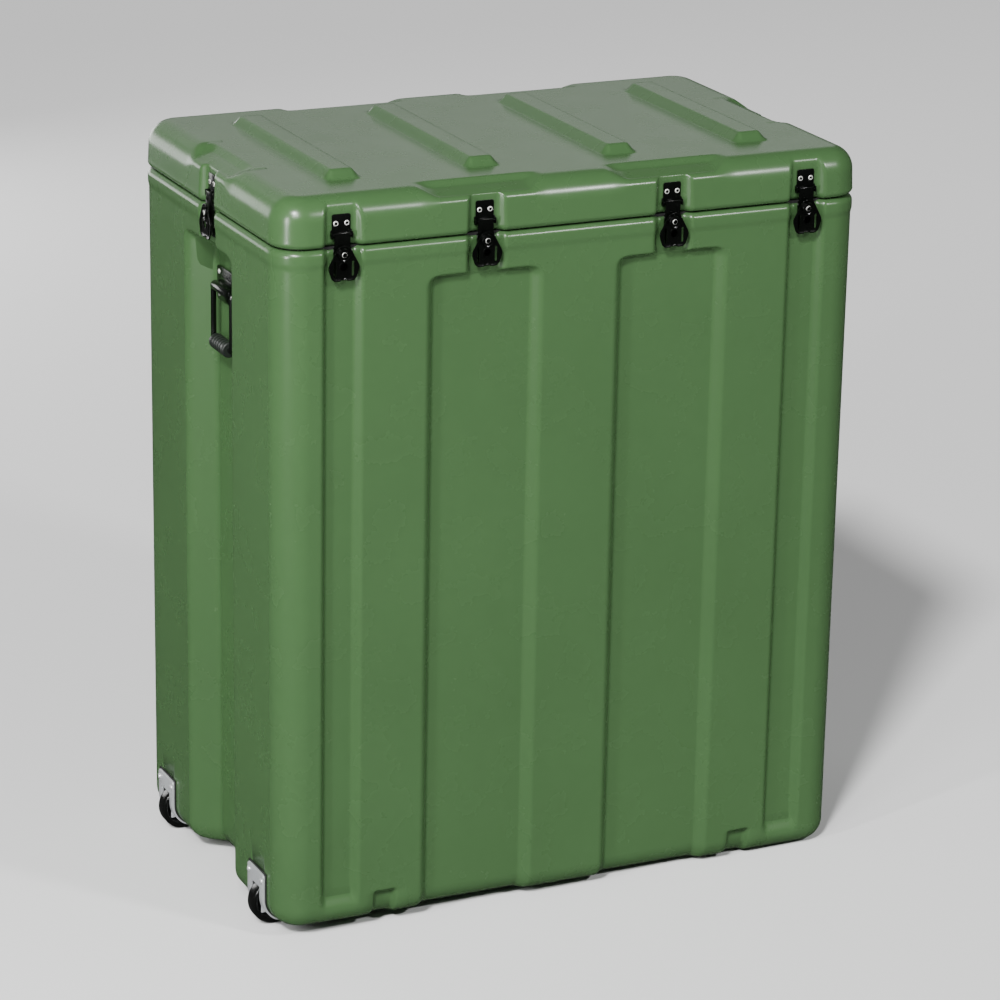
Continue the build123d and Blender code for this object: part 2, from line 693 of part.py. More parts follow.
for name, y in wheel_sides.items():
    with BuildPart() as bracket:
        with BuildSketch(Plane.XZ.offset(-y - bracket_width / 2)):
            wrap_profile(pad_sheet, bracket_sheet, bracket_top, bracket_reach)
        extrude(amount=bracket_width)
        cut_wheel_slot(y, 0)
        cut_bolt_holes(y)
        for cheek_y in (y - wheel_width / 2 - wheel_gap - cheek_sheet, y + wheel_width / 2 + wheel_gap):
            with BuildSketch(Plane.XZ.offset(-cheek_y - cheek_sheet)):
                with Locations((axle_x, axle_height)):
                    Circle(3 * axle_radius)
                    with Locations((-wheel_inset / 2, 0)):
                        Rectangle(wheel_inset, 6 * axle_radius)
                with Locations((side_x - pad_sheet + half_length / 2, half_length / 2 - pad_sheet)):
                    Rectangle(half_length, half_length, mode=Mode.INTERSECT)
            extrude(amount=cheek_sheet)
            with BuildSketch(Plane.XZ.offset(-cheek_y - cheek_sheet)):
                with Locations((axle_x, axle_height)):
                    Circle(axle_radius)
            extrude(amount=cheek_sheet, mode=Mode.SUBTRACT)
    save(bracket.part, f"wheel_bracket_{name}")

    with BuildPart() as wheel:
        with BuildSketch(Plane.XZ.offset(-y - wheel_width / 2)):
            with Locations((axle_x, axle_height)):
                Circle(wheel_radius)
                Circle(axle_radius + running_clearance, mode=Mode.SUBTRACT)
        extrude(amount=wheel_width)
        fillet(wheel.edges().filter_by(GeomType.CIRCLE).group_by(SortBy.RADIUS)[-1], 5)
    save(wheel.part, f"edge_wheel_{name}")

with BuildPart() as bracket_pads:
    for y in wheel_sides.values():
        with BuildSketch(Plane.XZ.offset(-y - bracket_width / 2 - pad_margin)):
            wrap_profile(0, pad_sheet, bracket_top + pad_margin, bracket_reach + pad_margin)
        extrude(amount=bracket_width + 2 * pad_margin)
    for y in wheel_sides.values():
        cut_wheel_slot(y, cheek_sheet + 1)
        cut_bolt_holes(y)
save(bracket_pads.part, "bracket_pads")

with BuildPart() as wheel_axles:
    for y in wheel_sides.values():
        length = wheel_width + 2 * wheel_gap + 2 * cheek_sheet + 1
        with BuildSketch(Plane.XZ.offset(-y - length / 2)):
            with Locations((axle_x, axle_height)):
                Circle(axle_radius)
        extrude(amount=length)
save(wheel_axles.part, "wheel_axles")

with BuildPart() as bracket_bolts:
    head_x = side_x - pad_sheet - bracket_sheet
    with BuildSketch(Plane.YZ.offset(head_x)):
        with Locations(*[(y, bolt_height) for y in bolt_places]):
            Circle(bolt_head_radius)
    extrude(amount=-bolt_head_height, taper=25)
    with BuildSketch(Plane.YZ.offset(head_x)):
        with Locations(*[(y, bolt_height) for y in bolt_places]):
            Circle(bolt_radius)
    extrude(amount=bolt_length)
    head_z = -pad_sheet - bracket_sheet
    with BuildSketch(Plane.XY.offset(head_z)):
        with Locations(*[(base_bolt_x, y) for y in bolt_places]):
            Circle(bolt_head_radius)
    extrude(amount=-bolt_head_height, taper=25)
    with BuildSketch(Plane.XY.offset(head_z)):
        with Locations(*[(base_bolt_x, y) for y in bolt_places]):
            Circle(bolt_radius)
    extrude(amount=bolt_length)
save(bracket_bolts.part, "bracket_bolts")
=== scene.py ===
import json
import math
import bpy
import bmesh
from mathutils import Matrix, Vector


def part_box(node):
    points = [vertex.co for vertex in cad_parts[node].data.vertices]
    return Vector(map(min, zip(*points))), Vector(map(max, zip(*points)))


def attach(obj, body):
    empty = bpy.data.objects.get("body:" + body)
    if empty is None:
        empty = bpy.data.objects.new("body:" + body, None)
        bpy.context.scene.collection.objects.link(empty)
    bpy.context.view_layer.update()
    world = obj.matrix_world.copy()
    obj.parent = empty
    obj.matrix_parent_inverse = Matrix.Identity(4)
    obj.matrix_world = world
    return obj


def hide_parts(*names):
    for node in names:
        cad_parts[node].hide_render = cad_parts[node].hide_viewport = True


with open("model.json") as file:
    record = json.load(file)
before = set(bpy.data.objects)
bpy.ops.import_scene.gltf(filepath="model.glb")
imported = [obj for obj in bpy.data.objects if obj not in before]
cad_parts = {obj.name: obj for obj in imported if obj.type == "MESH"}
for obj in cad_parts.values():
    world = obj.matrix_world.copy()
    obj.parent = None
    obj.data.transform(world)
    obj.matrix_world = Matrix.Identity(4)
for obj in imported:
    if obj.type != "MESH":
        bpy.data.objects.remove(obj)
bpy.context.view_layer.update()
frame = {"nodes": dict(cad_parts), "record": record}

cadNodes = frame["nodes"]


# Small helpers

def clamp01(value):
    return max(0.0, min(1.0, value))


def softStep(value):
    t = clamp01(value)
    return t * t * (3 - 2 * t)


def softRamp(value, ease=0.2):
    # a straight ramp from 0 to 1 whose two ends are rounded over the ease
    def area(t):
        return 0.0 if t < 0 else (t * t / 2 if t < 1 else t - 0.5)
    return (area(value + ease) - area(value - ease)) / (2 * ease)


def wallRamp(value, soft, crisp):
    # 0 to 1 down a moulded wall: a soft bend at its top edge and a tighter one at its foot
    t = clamp01(value)
    total = 1 - soft / 2 - crisp / 2
    if t < soft:
        return t * t / (2 * soft) / total
    if t < 1 - crisp:
        return (t - soft / 2) / total
    return 1 - (1 - t) ** 2 / (2 * crisp) / total


def mix(a, b, share):
    return a + (b - a) * share


def addPiece(name, bm, body, material, replaced=(), smoothAngle=None):
    mesh = bpy.data.meshes.new(name)
    bm.to_mesh(mesh)
    bm.free()
    piece = bpy.data.objects.new(name, mesh)
    bpy.context.scene.collection.objects.link(piece)
    for polygon in mesh.polygons:
        polygon.use_smooth = True
    if smoothAngle is not None:
        mesh.set_sharp_from_angle(angle=math.radians(smoothAngle))
    mesh.materials.append(material)
    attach(piece, body)
    if replaced:
        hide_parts(*replaced)
    return piece


# Shapes of the shells

bodyLow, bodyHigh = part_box("body_shell")
lidLow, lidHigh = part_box("lid_shell")

shell = {
    "halfX": bodyHigh.x,
    "halfY": bodyHigh.y,
    "cornerRadius": 0.051,
    "wall": 0.006,
    "rimRound": 0.010,
    "rimThickness": 0.022,
    "rimHeight": 0.024,
    "bodyTop": bodyHigh.z,
    "lidBottom": lidLow.z,
    "ribHeight": 0.014,
}
shell["parting"] = (shell["bodyTop"] + shell["lidBottom"]) / 2
shell["lidTop"] = lidHigh.z - shell["ribHeight"]

# the handle plate lies on the floor of the end channel
endDepth = bodyHigh.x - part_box("handle_plate_right")[0].x

channels = {
    "panelX": 0.157, "panelHalf": 0.098, "panelRun": 0.019, "panelDepth": 0.013,
    "endHalf": 0.105, "endRun": 0.046, "endDepth": endDepth,
    "ledge": shell["parting"] - 0.057, "ledgeRun": 0.005, "ledgeRound": 0.018,
    "outerX": 0.389, "pocketHalf": 0.0345, "pocketRun": 0.014, "pocketDepth": 0.011,
    "outerFoot": 0.030, "footRun": 0.022,
    "notchX": 0.312, "notchHalf": 0.0175, "notchTop": 0.049, "notchRun": 0.005, "notchDepth": 0.010,
}

bodyShape = {
    "baseRadius": 0.034,
    "draft": 0.0016,
    "beadHeight": 0.019,
    "beadDepth": 0.0018,
    "beadFlare": 0.012,
    "baseInset": 0.060,
    "innerHeights": (0.6, 0.1, 0.036),
    "innerFoot": (0.010, 0.016),
}

lidShape = {
    "shoulder": 0.037,
    "draft": 0.0032,
    "stepDepth": 0.0155,
    "stepRound": 0.011,
    "stepReach": 0.047,
    "stepWallRun": 0.010,
    "stepWallDepth": 0.0085,
    "panelStepHalf": 0.102,
    "endStepHalf": 0.094,
    "endStepReach": 0.041,
    "stepSideRun": 0.026,
    "innerInset": 0.062,
    "ribX": (-0.345, -0.116, 0.116, 0.345),
    "ribWidth": 0.058, "ribRun": 0.012, "ribLength": 0.404, "ribEndRun": 0.015,
}


def stationList(half, zones, coarse, fine):
    # positions from -half to half, close together inside the zones
    places, at = [-half], -half
    while at < half - 1e-6:
        inside = any(a - 1e-9 <= at < b - 1e-9 for a, b in zones)
        nextStart = min([a for a, b in zones if a > at + 1e-9] + [half])
        at = at + fine if inside else min(at + coarse, nextStart)
        places.append(min(at, half))
    if len(places) > 2 and places[-1] - places[-2] < fine / 2:
        places.pop(-2)
    return places


def mirrored(zones):
    return zones + [(-b, -a) for a, b in zones]


def makeStations(xPlaces, yPlaces, cornerSteps):
    # once round the plan, anticlockwise from the front's left end
    def corner(first):
        return [("corner", first, math.radians(first * 90 - 90) + math.pi / 2 * k / cornerSteps)
                for k in range(1, cornerSteps)]
    stations = [("front", u, 0) for u in xPlaces] + corner(0)
    stations += [("right", u, 0) for u in yPlaces] + corner(1)
    stations += [("back", -u, 0) for u in xPlaces] + corner(2)
    stations += [("left", -u, 0) for u in yPlaces] + corner(3)
    return stations


def outlinePoint(station, inset, halfX, halfY):
    kind, u, angle = station
    radius = shell["cornerRadius"]
    reachX, reachY = halfX - max(radius, inset), halfY - max(radius, inset)
    if kind == "corner":
        signX, signY = (1, 1, -1, -1)[u], (-1, 1, 1, -1)[u]
        round_ = max(radius - inset, 0.0)
        return signX * reachX + round_ * math.cos(angle), signY * reachY + round_ * math.sin(angle)
    if kind in ("front", "back"):
        x = max(-reachX, min(reachX, u))
        return x, (inset - halfY) if kind == "front" else (halfY - inset)
    y = max(-reachY, min(reachY, u))
    return (inset - halfX) if kind == "left" else (halfX - inset), y


def loft(bm, rings):
    # the first ring is a circle moved onto its places, and each next one is extruded from it
    count = len(rings[0])
    made = bmesh.ops.create_circle(bm, segments=count, radius=1.0)
    loop = made["verts"]
    for vertex, place in zip(loop, rings[0]):
        vertex.co = place
    edges = [e for e in bm.edges]
    loops = [loop]
    for ring in rings[1:]:
        grown = bmesh.ops.extrude_edge_only(bm, edges=edges)["geom"]
        fresh = {g for g in grown if isinstance(g, bmesh.types.BMVert)}
        nextLoop = [next(e.other_vert(v) for e in v.link_edges if e.other_vert(v) in fresh) for v in loop]
        edges = [e for e in grown if isinstance(e, bmesh.types.BMEdge)
                 and e.verts[0] in fresh and e.verts[1] in fresh]
        for vertex, place in zip(nextLoop, ring):
            vertex.co = place
        loop = nextLoop
        loops.append(loop)
    return loops


def capEnds(bm, loops):
    for loop in (loops[0], loops[-1]):
        bmesh.ops.contextual_create(bm, geom=loop)


def closeShell(bm):
    bmesh.ops.remove_doubles(bm, verts=bm.verts, dist=0.00002)
    bmesh.ops.dissolve_degenerate(bm, dist=0.00001, edges=bm.edges)
    bmesh.ops.recalc_face_normals(bm, faces=bm.faces)


# How deep the moulding goes at a place on a side

def pocketDepth(offset):
    c = channels
    return c["pocketDepth"] * wallRamp((c["pocketHalf"] - abs(offset)) / c["pocketRun"], 0.35, 0.25)


def bodyDepth(station, z):
    kind, u, _ = station
    if kind == "corner":
        return 0.0
    c = channels
    below = c["ledge"] - z
    turn = c["ledgeRound"]
    bite = turn - math.sqrt(max(turn ** 2 - (turn - max(below, 0)) ** 2, 0)) if below < turn else 0.0
    ledge = softRamp(below / c["ledgeRun"], 0.3)
    depth = 0.0
    if kind in ("front", "back"):
        across = abs(u)
        panel = (c["panelHalf"] - bite - abs(across - c["panelX"])) / c["panelRun"]
        depth = c["panelDepth"] * wallRamp(panel, 0.45, 0.15) * ledge
        if below < c["ledgeRun"]:
            depth = max(depth, pocketDepth(across - c["panelX"]))
        foot = softRamp((z - c["outerFoot"]) / c["footRun"], 0.4)
        depth = max(depth, pocketDepth(across - c["outerX"]) * foot)
        notchSide = softRamp((c["notchHalf"] - abs(across - c["notchX"])) / c["notchRun"] + 0.5, 0.4)
        notchTop = softRamp((c["notchTop"] - z) / c["notchRun"], 0.4)
        depth = max(depth, c["notchDepth"] * notchSide * notchTop)
    else:
        channel = (c["endHalf"] - bite * 1.2 - abs(u)) / c["endRun"]
        depth = c["endDepth"] * wallRamp(channel, 0.35, 0.25) * ledge
        if below < c["ledgeRun"]:
            depth = max(depth, pocketDepth(u))
    return depth


def bodyInset(station, z):
    s, b = shell, bodyShape
    draft = b["draft"] * (1 - z / s["bodyTop"])
    bead = b["beadDepth"] * softStep((s["bodyTop"] - b["beadHeight"] - z) / b["beadFlare"])
    return draft + bead + bodyDepth(station, z)


def wallZones(middle, half, run, outside, inside):
    # where a channel's two sloping walls are, with a margin on either side of each
    return [(middle - half - outside, middle - half + run + inside),
            (middle + half - run - inside, middle + half + outside)]


def bodyStations():
    c = channels
    x = mirrored(wallZones(c["panelX"], c["panelHalf"], c["panelRun"], 0.004, 0.006)
                 + wallZones(c["panelX"], c["pocketHalf"], c["pocketRun"], 0.003, 0.004)
                 + wallZones(c["outerX"], c["pocketHalf"], c["pocketRun"], 0.003, 0.004)
                 + wallZones(c["notchX"], c["notchHalf"], 0, 0.004, 0.005))
    y = mirrored([(c["endHalf"] - c["endRun"] - 0.008, c["endHalf"] + 0.004),
                  (c["pocketHalf"] - c["pocketRun"] - 0.004, c["pocketHalf"] + 0.003)])
    flatX, flatY = shell["halfX"] - shell["cornerRadius"], shell["halfY"] - shell["cornerRadius"]
    return makeStations(stationList(flatX, x, 0.022, 0.0024), stationList(flatY, y, 0.02, 0.003), 14)


def ringAt(stations, levels):
    # levels gives, for a station, its inset and height
    rings = []
    for level in levels:
        ring = []
        for station in stations:
            inset, z = level(station)
            x, y = outlinePoint(station, inset, shell["halfX"], shell["halfY"])
            ring.append(Vector((x, y, z)))
        rings.append(ring)
    return rings


def bodyHeights():
    c, top = channels, shell["bodyTop"] - shell["rimRound"]
    zones = [(0.026, 0.058), (c["ledge"] - 0.024, c["ledge"] + 0.004),
             (shell["bodyTop"] - bodyShape["beadHeight"] - bodyShape["beadFlare"] - 0.002, top)]
    half = top / 2
    shifted = [(a - half, b - half) for a, b in zones]
    places = [half + v for v in stationList(half, shifted, 0.055, 0.0021)]
    return [z for z in places if z > bodyShape["baseRadius"]]


def bodyLevels():
    s, b = shell, bodyShape
    levels = [lambda st: (b["baseInset"], 0.0)]
    for k in range(0, 11):
        turn = math.pi / 2 * (1 - k / 10)
        z = b["baseRadius"] * (1 - math.sin(turn))
        levels.append(lambda st, turn=turn, z=z: (
            bodyInset(st, z) + b["baseRadius"] * (1 - math.cos(turn)), z))
    for z in bodyHeights():
        levels.append(lambda st, z=z: (bodyInset(st, z), z))
    for k in range(1, 9):
        turn = math.pi / 2 * k / 8
        z = s["bodyTop"] - s["rimRound"] * (1 - math.sin(turn))
        levels.append(lambda st, turn=turn, z=z: (
            bodyInset(st, z) + s["rimRound"] * (1 - math.cos(turn)), z))
    top = s["bodyTop"]
    levels.append(lambda st: (s["rimThickness"], top))
    levels.append(lambda st: (s["rimThickness"], top - s["rimHeight"]))
    wall = s["wall"]
    for z in (top - s["rimHeight"], channels["ledge"] + wall, channels["ledge"]) + b["innerHeights"]:
        levels.append(lambda st, z=z: (wall + max(0.0, bodyInset(st, z - wall)), z))
    footInset, footHeight = b["innerFoot"]
    levels.append(lambda st: (wall + footInset + bodyInset(st, 0.02), footHeight))
    levels.append(lambda st: (b["baseInset"], wall))
    return levels


def makeBody(material):
    bm = bmesh.new()
    loops = loft(bm, ringAt(bodyStations(), bodyLevels()))
    capEnds(bm, loops)
    closeShell(bm)
    return addPiece("bodyShell", bm, "case", material, ["body_shell"])


# Lid

def lidDepth(station):
    kind, u, _ = station
    c = channels
    if kind in ("front", "back"):
        return max(pocketDepth(abs(u) - c["panelX"]), pocketDepth(abs(u) - c["outerX"]))
    if kind in ("left", "right"):
        return pocketDepth(u)
    return 0.0


def stepShare(kind, u):
    g = lidShape
    if kind in ("front", "back"):
        return softRamp((g["panelStepHalf"] - abs(abs(u) - channels["panelX"])) / g["stepSideRun"], 0.3)
    if kind in ("left", "right"):
        return softRamp((g["endStepHalf"] - abs(u)) / g["stepSideRun"], 0.3)
    return 0.0


def topHeight(x, y):
    # the lid's flat top with its ribs and what is left of the steps
    g, s = lidShape, shell
    z = s["lidTop"]
    for ribX in g["ribX"]:
        across = softRamp((g["ribWidth"] / 2 - abs(x - ribX)) / g["ribRun"], 0.16)
        along = softRamp((g["ribLength"] / 2 - abs(y)) / g["ribEndRun"], 0.16)
        z += s["ribHeight"] * across * along
    return z


def lidStations():
    c, g = channels, lidShape
    x = mirrored(wallZones(c["panelX"], g["panelStepHalf"], g["stepSideRun"], 0.004, 0.004)
                 + wallZones(c["panelX"], c["pocketHalf"], c["pocketRun"], 0.003, 0.004)
                 + wallZones(c["outerX"], c["pocketHalf"], c["pocketRun"], 0.003, 0.004))
    for ribX in g["ribX"]:
        for side in (-1, 1):
            edge = ribX + side * (g["ribWidth"] - g["ribRun"]) / 2
            x.append((edge - g["ribRun"] / 2 - 0.003, edge + g["ribRun"] / 2 + 0.003))
    edge = (g["ribLength"] - g["ribEndRun"]) / 2
    y = mirrored([(edge - g["ribEndRun"] / 2 - 0.003, edge + g["ribEndRun"] / 2 + 0.003),
                  (g["endStepHalf"] - g["stepSideRun"] - 0.004, g["endStepHalf"] + 0.004),
                  (c["pocketHalf"] - c["pocketRun"] - 0.004, c["pocketHalf"] + 0.003)])
    flatX, flatY = shell["halfX"] - shell["cornerRadius"], shell["halfY"] - shell["cornerRadius"]
    return stationList(flatX, x, 0.02, 0.0024), stationList(flatY, y, 0.02, 0.0026)


def lidPoint(station, part, share, shrink=0.0):
    # a place on the lid's side, shoulder or top border, moved inside by shrink
    g, s = lidShape, shell
    kind, u, _ = station
    step = stepShare(kind, u)
    top = s["lidTop"] - shrink
    depth = lidDepth(station)
    start = s["lidBottom"] + s["rimRound"]
    plainZ, stepZ = top - g["shoulder"], top - g["stepDepth"] - g["stepRound"]
    if part == "side":
        z = mix(start, mix(plainZ, stepZ, step), share)
        inset = g["draft"] * (z - s["lidBottom"]) / (s["lidTop"] - s["lidBottom"])
    elif part == "shoulder":
        turn = math.pi / 2 * share
        radius = mix(g["shoulder"], g["stepRound"], step)
        zStart = mix(plainZ, stepZ, step)
        z = zStart + radius * math.sin(turn)
        draft = g["draft"] * (zStart - s["lidBottom"]) / (s["lidTop"] - s["lidBottom"])
        inset = draft + radius * (1 - math.cos(turn))
    else:
        radius = mix(g["shoulder"], g["stepRound"], step)
        first = g["draft"] * 0.6 + radius
        inset = mix(first, g["innerInset"], share)
        reach = g["endStepReach"] if kind in ("left", "right") else g["stepReach"]
        wallShare = softRamp((reach - inset) / g["stepWallRun"] + 0.5, 0.25)
        shelf = clamp01((reach - g["stepWallRun"] / 2 - inset) / (reach - g["stepWallRun"] / 2 - first))
        drop = g["stepWallDepth"] * wallShare + (g["stepDepth"] - g["stepWallDepth"]) * shelf ** 1.3
        z = top - drop * step
    # a pocket cuts straight in until it meets the curve of the shoulder
    blend = 0.004 * depth / channels["pocketDepth"]
    inset = (inset + depth + math.sqrt((inset - depth) ** 2 + blend ** 2)) / 2
    return inset + shrink, z


def makeLid(material):
    s, g = shell, lidShape
    xPlaces, yPlaces = lidStations()
    stations = makeStations(xPlaces, yPlaces, 14)
    wall = s["wall"]
    levels = [lambda st: lidPoint(st, "top", 1.0, wall)]
    levels += [lambda st, k=k: lidPoint(st, "top", k / 6, wall) for k in (4, 2)]
    levels += [lambda st, k=k: lidPoint(st, "shoulder", k / 5, wall) for k in range(5, -1, -1)]
    levels.append(lambda st: (wall + lidDepth(st), s["lidBottom"] + s["rimHeight"]))
    levels.append(lambda st: (s["rimThickness"], s["lidBottom"] + s["rimHeight"]))
    levels.append(lambda st: (s["rimThickness"], s["lidBottom"]))
    for k in range(8, 0, -1):
        turn = math.pi / 2 * k / 8
        z = s["lidBottom"] + s["rimRound"] * (1 - math.sin(turn))
        levels.append(lambda st, turn=turn, z=z: (lidDepth(st) + s["rimRound"] * (1 - math.cos(turn)), z))
    levels += [lambda st, k=k: lidPoint(st, "side", k / 6) for k in range(0, 7)]
    levels += [lambda st, k=k: lidPoint(st, "shoulder", k / 12) for k in range(1, 13)]
    levels += [lambda st, k=k: lidPoint(st, "top", k / 16) for k in range(1, 17)]
    bm = bmesh.new()
    loops = loft(bm, ringAt(stations, levels))
    bmesh.ops.contextual_create(bm, geom=loops[0])
    # the middle of the top is a grid whose lines meet the border's stations
    edgeX, edgeY = s["halfX"] - g["innerInset"], s["halfY"] - g["innerInset"]
    gridX = [-edgeX] + [x for x in xPlaces if abs(x) < edgeX - 1e-5] + [edgeX]
    gridY = [-edgeY] + [y for y in yPlaces if abs(y) < edgeY - 1e-5] + [edgeY]
    made = bmesh.ops.create_grid(bm, x_segments=len(gridX) - 1, y_segments=len(gridY) - 1, size=1.0)
    for vertex in made["verts"]:
        x = gridX[round((vertex.co.x + 1) / 2 * (len(gridX) - 1))]
        y = gridY[round((vertex.co.y + 1) / 2 * (len(gridY) - 1))]
        vertex.co = (x, y, topHeight(x, y))
    closeShell(bm)
    return addPiece("lidShell", bm, "lid", material, ["lid_shell"])


# Materials

def linear(red, green, blue):
    # a screen colour, 0 to 255, as the shader wants it
    def one(v):
        v = v / 255
        return v / 12.92 if v <= 0.04045 else ((v + 0.055) / 1.055) ** 2.4
    return one(red), one(green), one(blue), 1.0


def makeGroup(name, inputs, output, build):
    group = bpy.data.node_groups.new(name, "ShaderNodeTree")
    for label, kind, value in inputs:
        socket = group.interface.new_socket(label, in_out="INPUT", socket_type=kind)
        socket.default_value = value
    label, kind = output
    group.interface.new_socket(label, in_out="OUTPUT", socket_type=kind)
    source = group.nodes.new("NodeGroupInput")
    sink = group.nodes.new("NodeGroupOutput")
    build(group, source, sink)
    return group


def noiseNode(tree, scale, detail=3.0, rough=0.55, stretch=(1, 1, 1)):
    place = tree.nodes.new("ShaderNodeTexCoord")
    mapping = tree.nodes.new("ShaderNodeMapping")
    mapping.inputs["Scale"].default_value = stretch
    texture = tree.nodes.new("ShaderNodeTexNoise")
    texture.inputs["Scale"].default_value = scale
    texture.inputs["Detail"].default_value = detail
    texture.inputs["Roughness"].default_value = rough
    tree.links.new(place.outputs["Object"], mapping.inputs["Vector"])
    tree.links.new(mapping.outputs["Vector"], texture.inputs["Vector"])
    return texture


def spread(tree, source, low, high, outLow, outHigh):
    node = tree.nodes.new("ShaderNodeMapRange")
    node.inputs["From Min"].default_value = low
    node.inputs["From Max"].default_value = high
    node.inputs["To Min"].default_value = outLow
    node.inputs["To Max"].default_value = outHigh
    tree.links.new(source, node.inputs["Value"])
    return node.outputs["Result"]


def buildPatches(group, source, sink):
    # slow, faint changes of brightness over a moulded or coated surface
    cloud = spread(group, noiseNode(group, 3.2, 4.0).outputs["Fac"], 0.3, 0.7, -1.0, 1.0)
    fine = spread(group, noiseNode(group, 60.0, 2.0).outputs["Fac"], 0.3, 0.7, -0.35, 0.35)
    add = group.nodes.new("ShaderNodeMath")
    group.links.new(cloud, add.inputs[0])
    group.links.new(fine, add.inputs[1])
    scale = group.nodes.new("ShaderNodeMath")
    scale.operation = "MULTIPLY_ADD"
    scale.inputs[2].default_value = 1.0
    group.links.new(add.outputs[0], scale.inputs[0])
    group.links.new(source.outputs["Amount"], scale.inputs[1])
    blend = group.nodes.new("ShaderNodeVectorMath")
    blend.operation = "SCALE"
    group.links.new(source.outputs["Color"], blend.inputs[0])
    group.links.new(scale.outputs[0], blend.inputs["Scale"])
    group.links.new(blend.outputs["Vector"], sink.inputs["Color"])


def buildUneven(group, source, sink):
    # roughness that drifts a little, as handled plastic and coated steel do
    drift = spread(group, noiseNode(group, 14.0, 5.0).outputs["Fac"], 0.3, 0.7, -1.0, 1.0)
    add = group.nodes.new("ShaderNodeMath")
    add.operation = "MULTIPLY_ADD"
    group.links.new(drift, add.inputs[0])
    group.links.new(source.outputs["Amount"], add.inputs[1])
    group.links.new(source.outputs["Roughness"], add.inputs[2])
    group.links.new(add.outputs[0], sink.inputs["Roughness"])


def buildGrain(group, source, sink):
    # the fine dimples of a moulded or coated surface
    grain = noiseNode(group, 1.0, 2.0)
    group.links.new(source.outputs["Scale"], grain.inputs["Scale"])
    bump = group.nodes.new("ShaderNodeBump")
    bump.inputs["Distance"].default_value = 0.001
    group.links.new(source.outputs["Strength"], bump.inputs["Strength"])
    group.links.new(grain.outputs["Fac"], bump.inputs["Height"])
    group.links.new(bump.outputs["Normal"], sink.inputs["Normal"])


def makeSharedGroups():
    floatKind, colorKind = "NodeSocketFloat", "NodeSocketColor"
    return {
        "patches": makeGroup("faint patches",
                             [("Color", colorKind, (1, 1, 1, 1)), ("Amount", floatKind, 0.05)],
                             ("Color", colorKind), buildPatches),
        "uneven": makeGroup("uneven roughness", [("Roughness", floatKind, 0.4), ("Amount", floatKind, 0.05)],
                            ("Roughness", floatKind), buildUneven),
        "grain": makeGroup("surface grain", [("Scale", floatKind, 400.0), ("Strength", floatKind, 0.1)],
                           ("Normal", "NodeSocketVector"), buildGrain),
    }


shared = makeSharedGroups()

# drift is how far the roughness strays and patch how far the colour does; grain and bump are the fine dimples
finishes = {
    "shell_green": dict(color=(54, 81, 48), rough=0.27, drift=0.015, patch=0.04, grain=260, bump=0.02,
                        ior=1.4),
    "gasket_rubber": dict(color=(22, 22, 22), rough=0.75, drift=0.05, patch=0.05, grain=900, bump=0.1),
    "latch_black": dict(color=(3, 4, 3), rough=0.2, drift=0.05, patch=0.12, grain=1300, bump=0.1,
                        specular=0.35),
    "rivet_steel": dict(color=(205, 205, 200), rough=0.28, drift=0.06, patch=0.08, grain=1500, bump=0.05,
                        metallic=0.45),
    "pin_steel": dict(color=(60, 60, 58), rough=0.35, drift=0.06, patch=0.08, grain=1500, bump=0.05,
                      metallic=1.0),
    "handle_black": dict(color=(5, 7, 5), rough=0.24, drift=0.05, patch=0.1, grain=900, bump=0.1,
                         specular=0.4),
    "grip_rubber": dict(color=(19, 24, 20), rough=0.5, drift=0.06, patch=0.08, grain=700, bump=0.2),
    "bracket_zinc": dict(color=(188, 191, 193), rough=0.34, drift=0.08, patch=0.1, grain=500, bump=0.08,
                         metallic=0.5),
    "bolt_steel": dict(color=(205, 206, 208), rough=0.25, drift=0.06, patch=0.06, grain=1200, bump=0.05,
                       metallic=0.6),
    "pad_rubber": dict(color=(20, 20, 20), rough=0.6, drift=0.05, patch=0.05, grain=900, bump=0.1),
    "wheel_black": dict(color=(7, 8, 7), rough=0.22, drift=0.05, patch=0.08, grain=600, bump=0.05,
                        specular=0.6),
}


def makeFinish(name):
    look = finishes[name]
    material = bpy.data.materials.new(name)
    material.use_nodes = True
    tree = material.node_tree
    principled = tree.nodes["Principled BSDF"]
    principled.inputs["Metallic"].default_value = look.get("metallic", 0.0)
    principled.inputs["Specular IOR Level"].default_value = look.get("specular", 0.5)
    principled.inputs["IOR"].default_value = look.get("ior", 1.5)
    placed = {}
    for kind, values in (("patches", {"Color": linear(*look["color"]), "Amount": look["patch"]}),
                         ("uneven", {"Roughness": look["rough"], "Amount": look["drift"]}),
                         ("grain", {"Scale": look["grain"], "Strength": look["bump"]})):
        placed[kind] = tree.nodes.new("ShaderNodeGroup")
        placed[kind].node_tree = shared[kind]
        for label, value in values.items():
            placed[kind].inputs[label].default_value = value
    tree.links.new(placed["patches"].outputs["Color"], principled.inputs["Base Color"])
    tree.links.new(placed["uneven"].outputs["Roughness"], principled.inputs["Roughness"])
    tree.links.new(placed["grain"].outputs["Normal"], principled.inputs["Normal"])
    return material


materials = {name: makeFinish(name) for name in finishes}
for row in frame["record"]["subparts"]:
    node = cadNodes[row["node"]]
    node.data.materials.clear()
    node.data.materials.append(materials[row["material_slot"]])
print("materials made", len(materials))


# Wheel wells cut from the body

well = {
    "clearance": 0.005,
    "sideGap": 0.0055,
    "sides": 64,
}


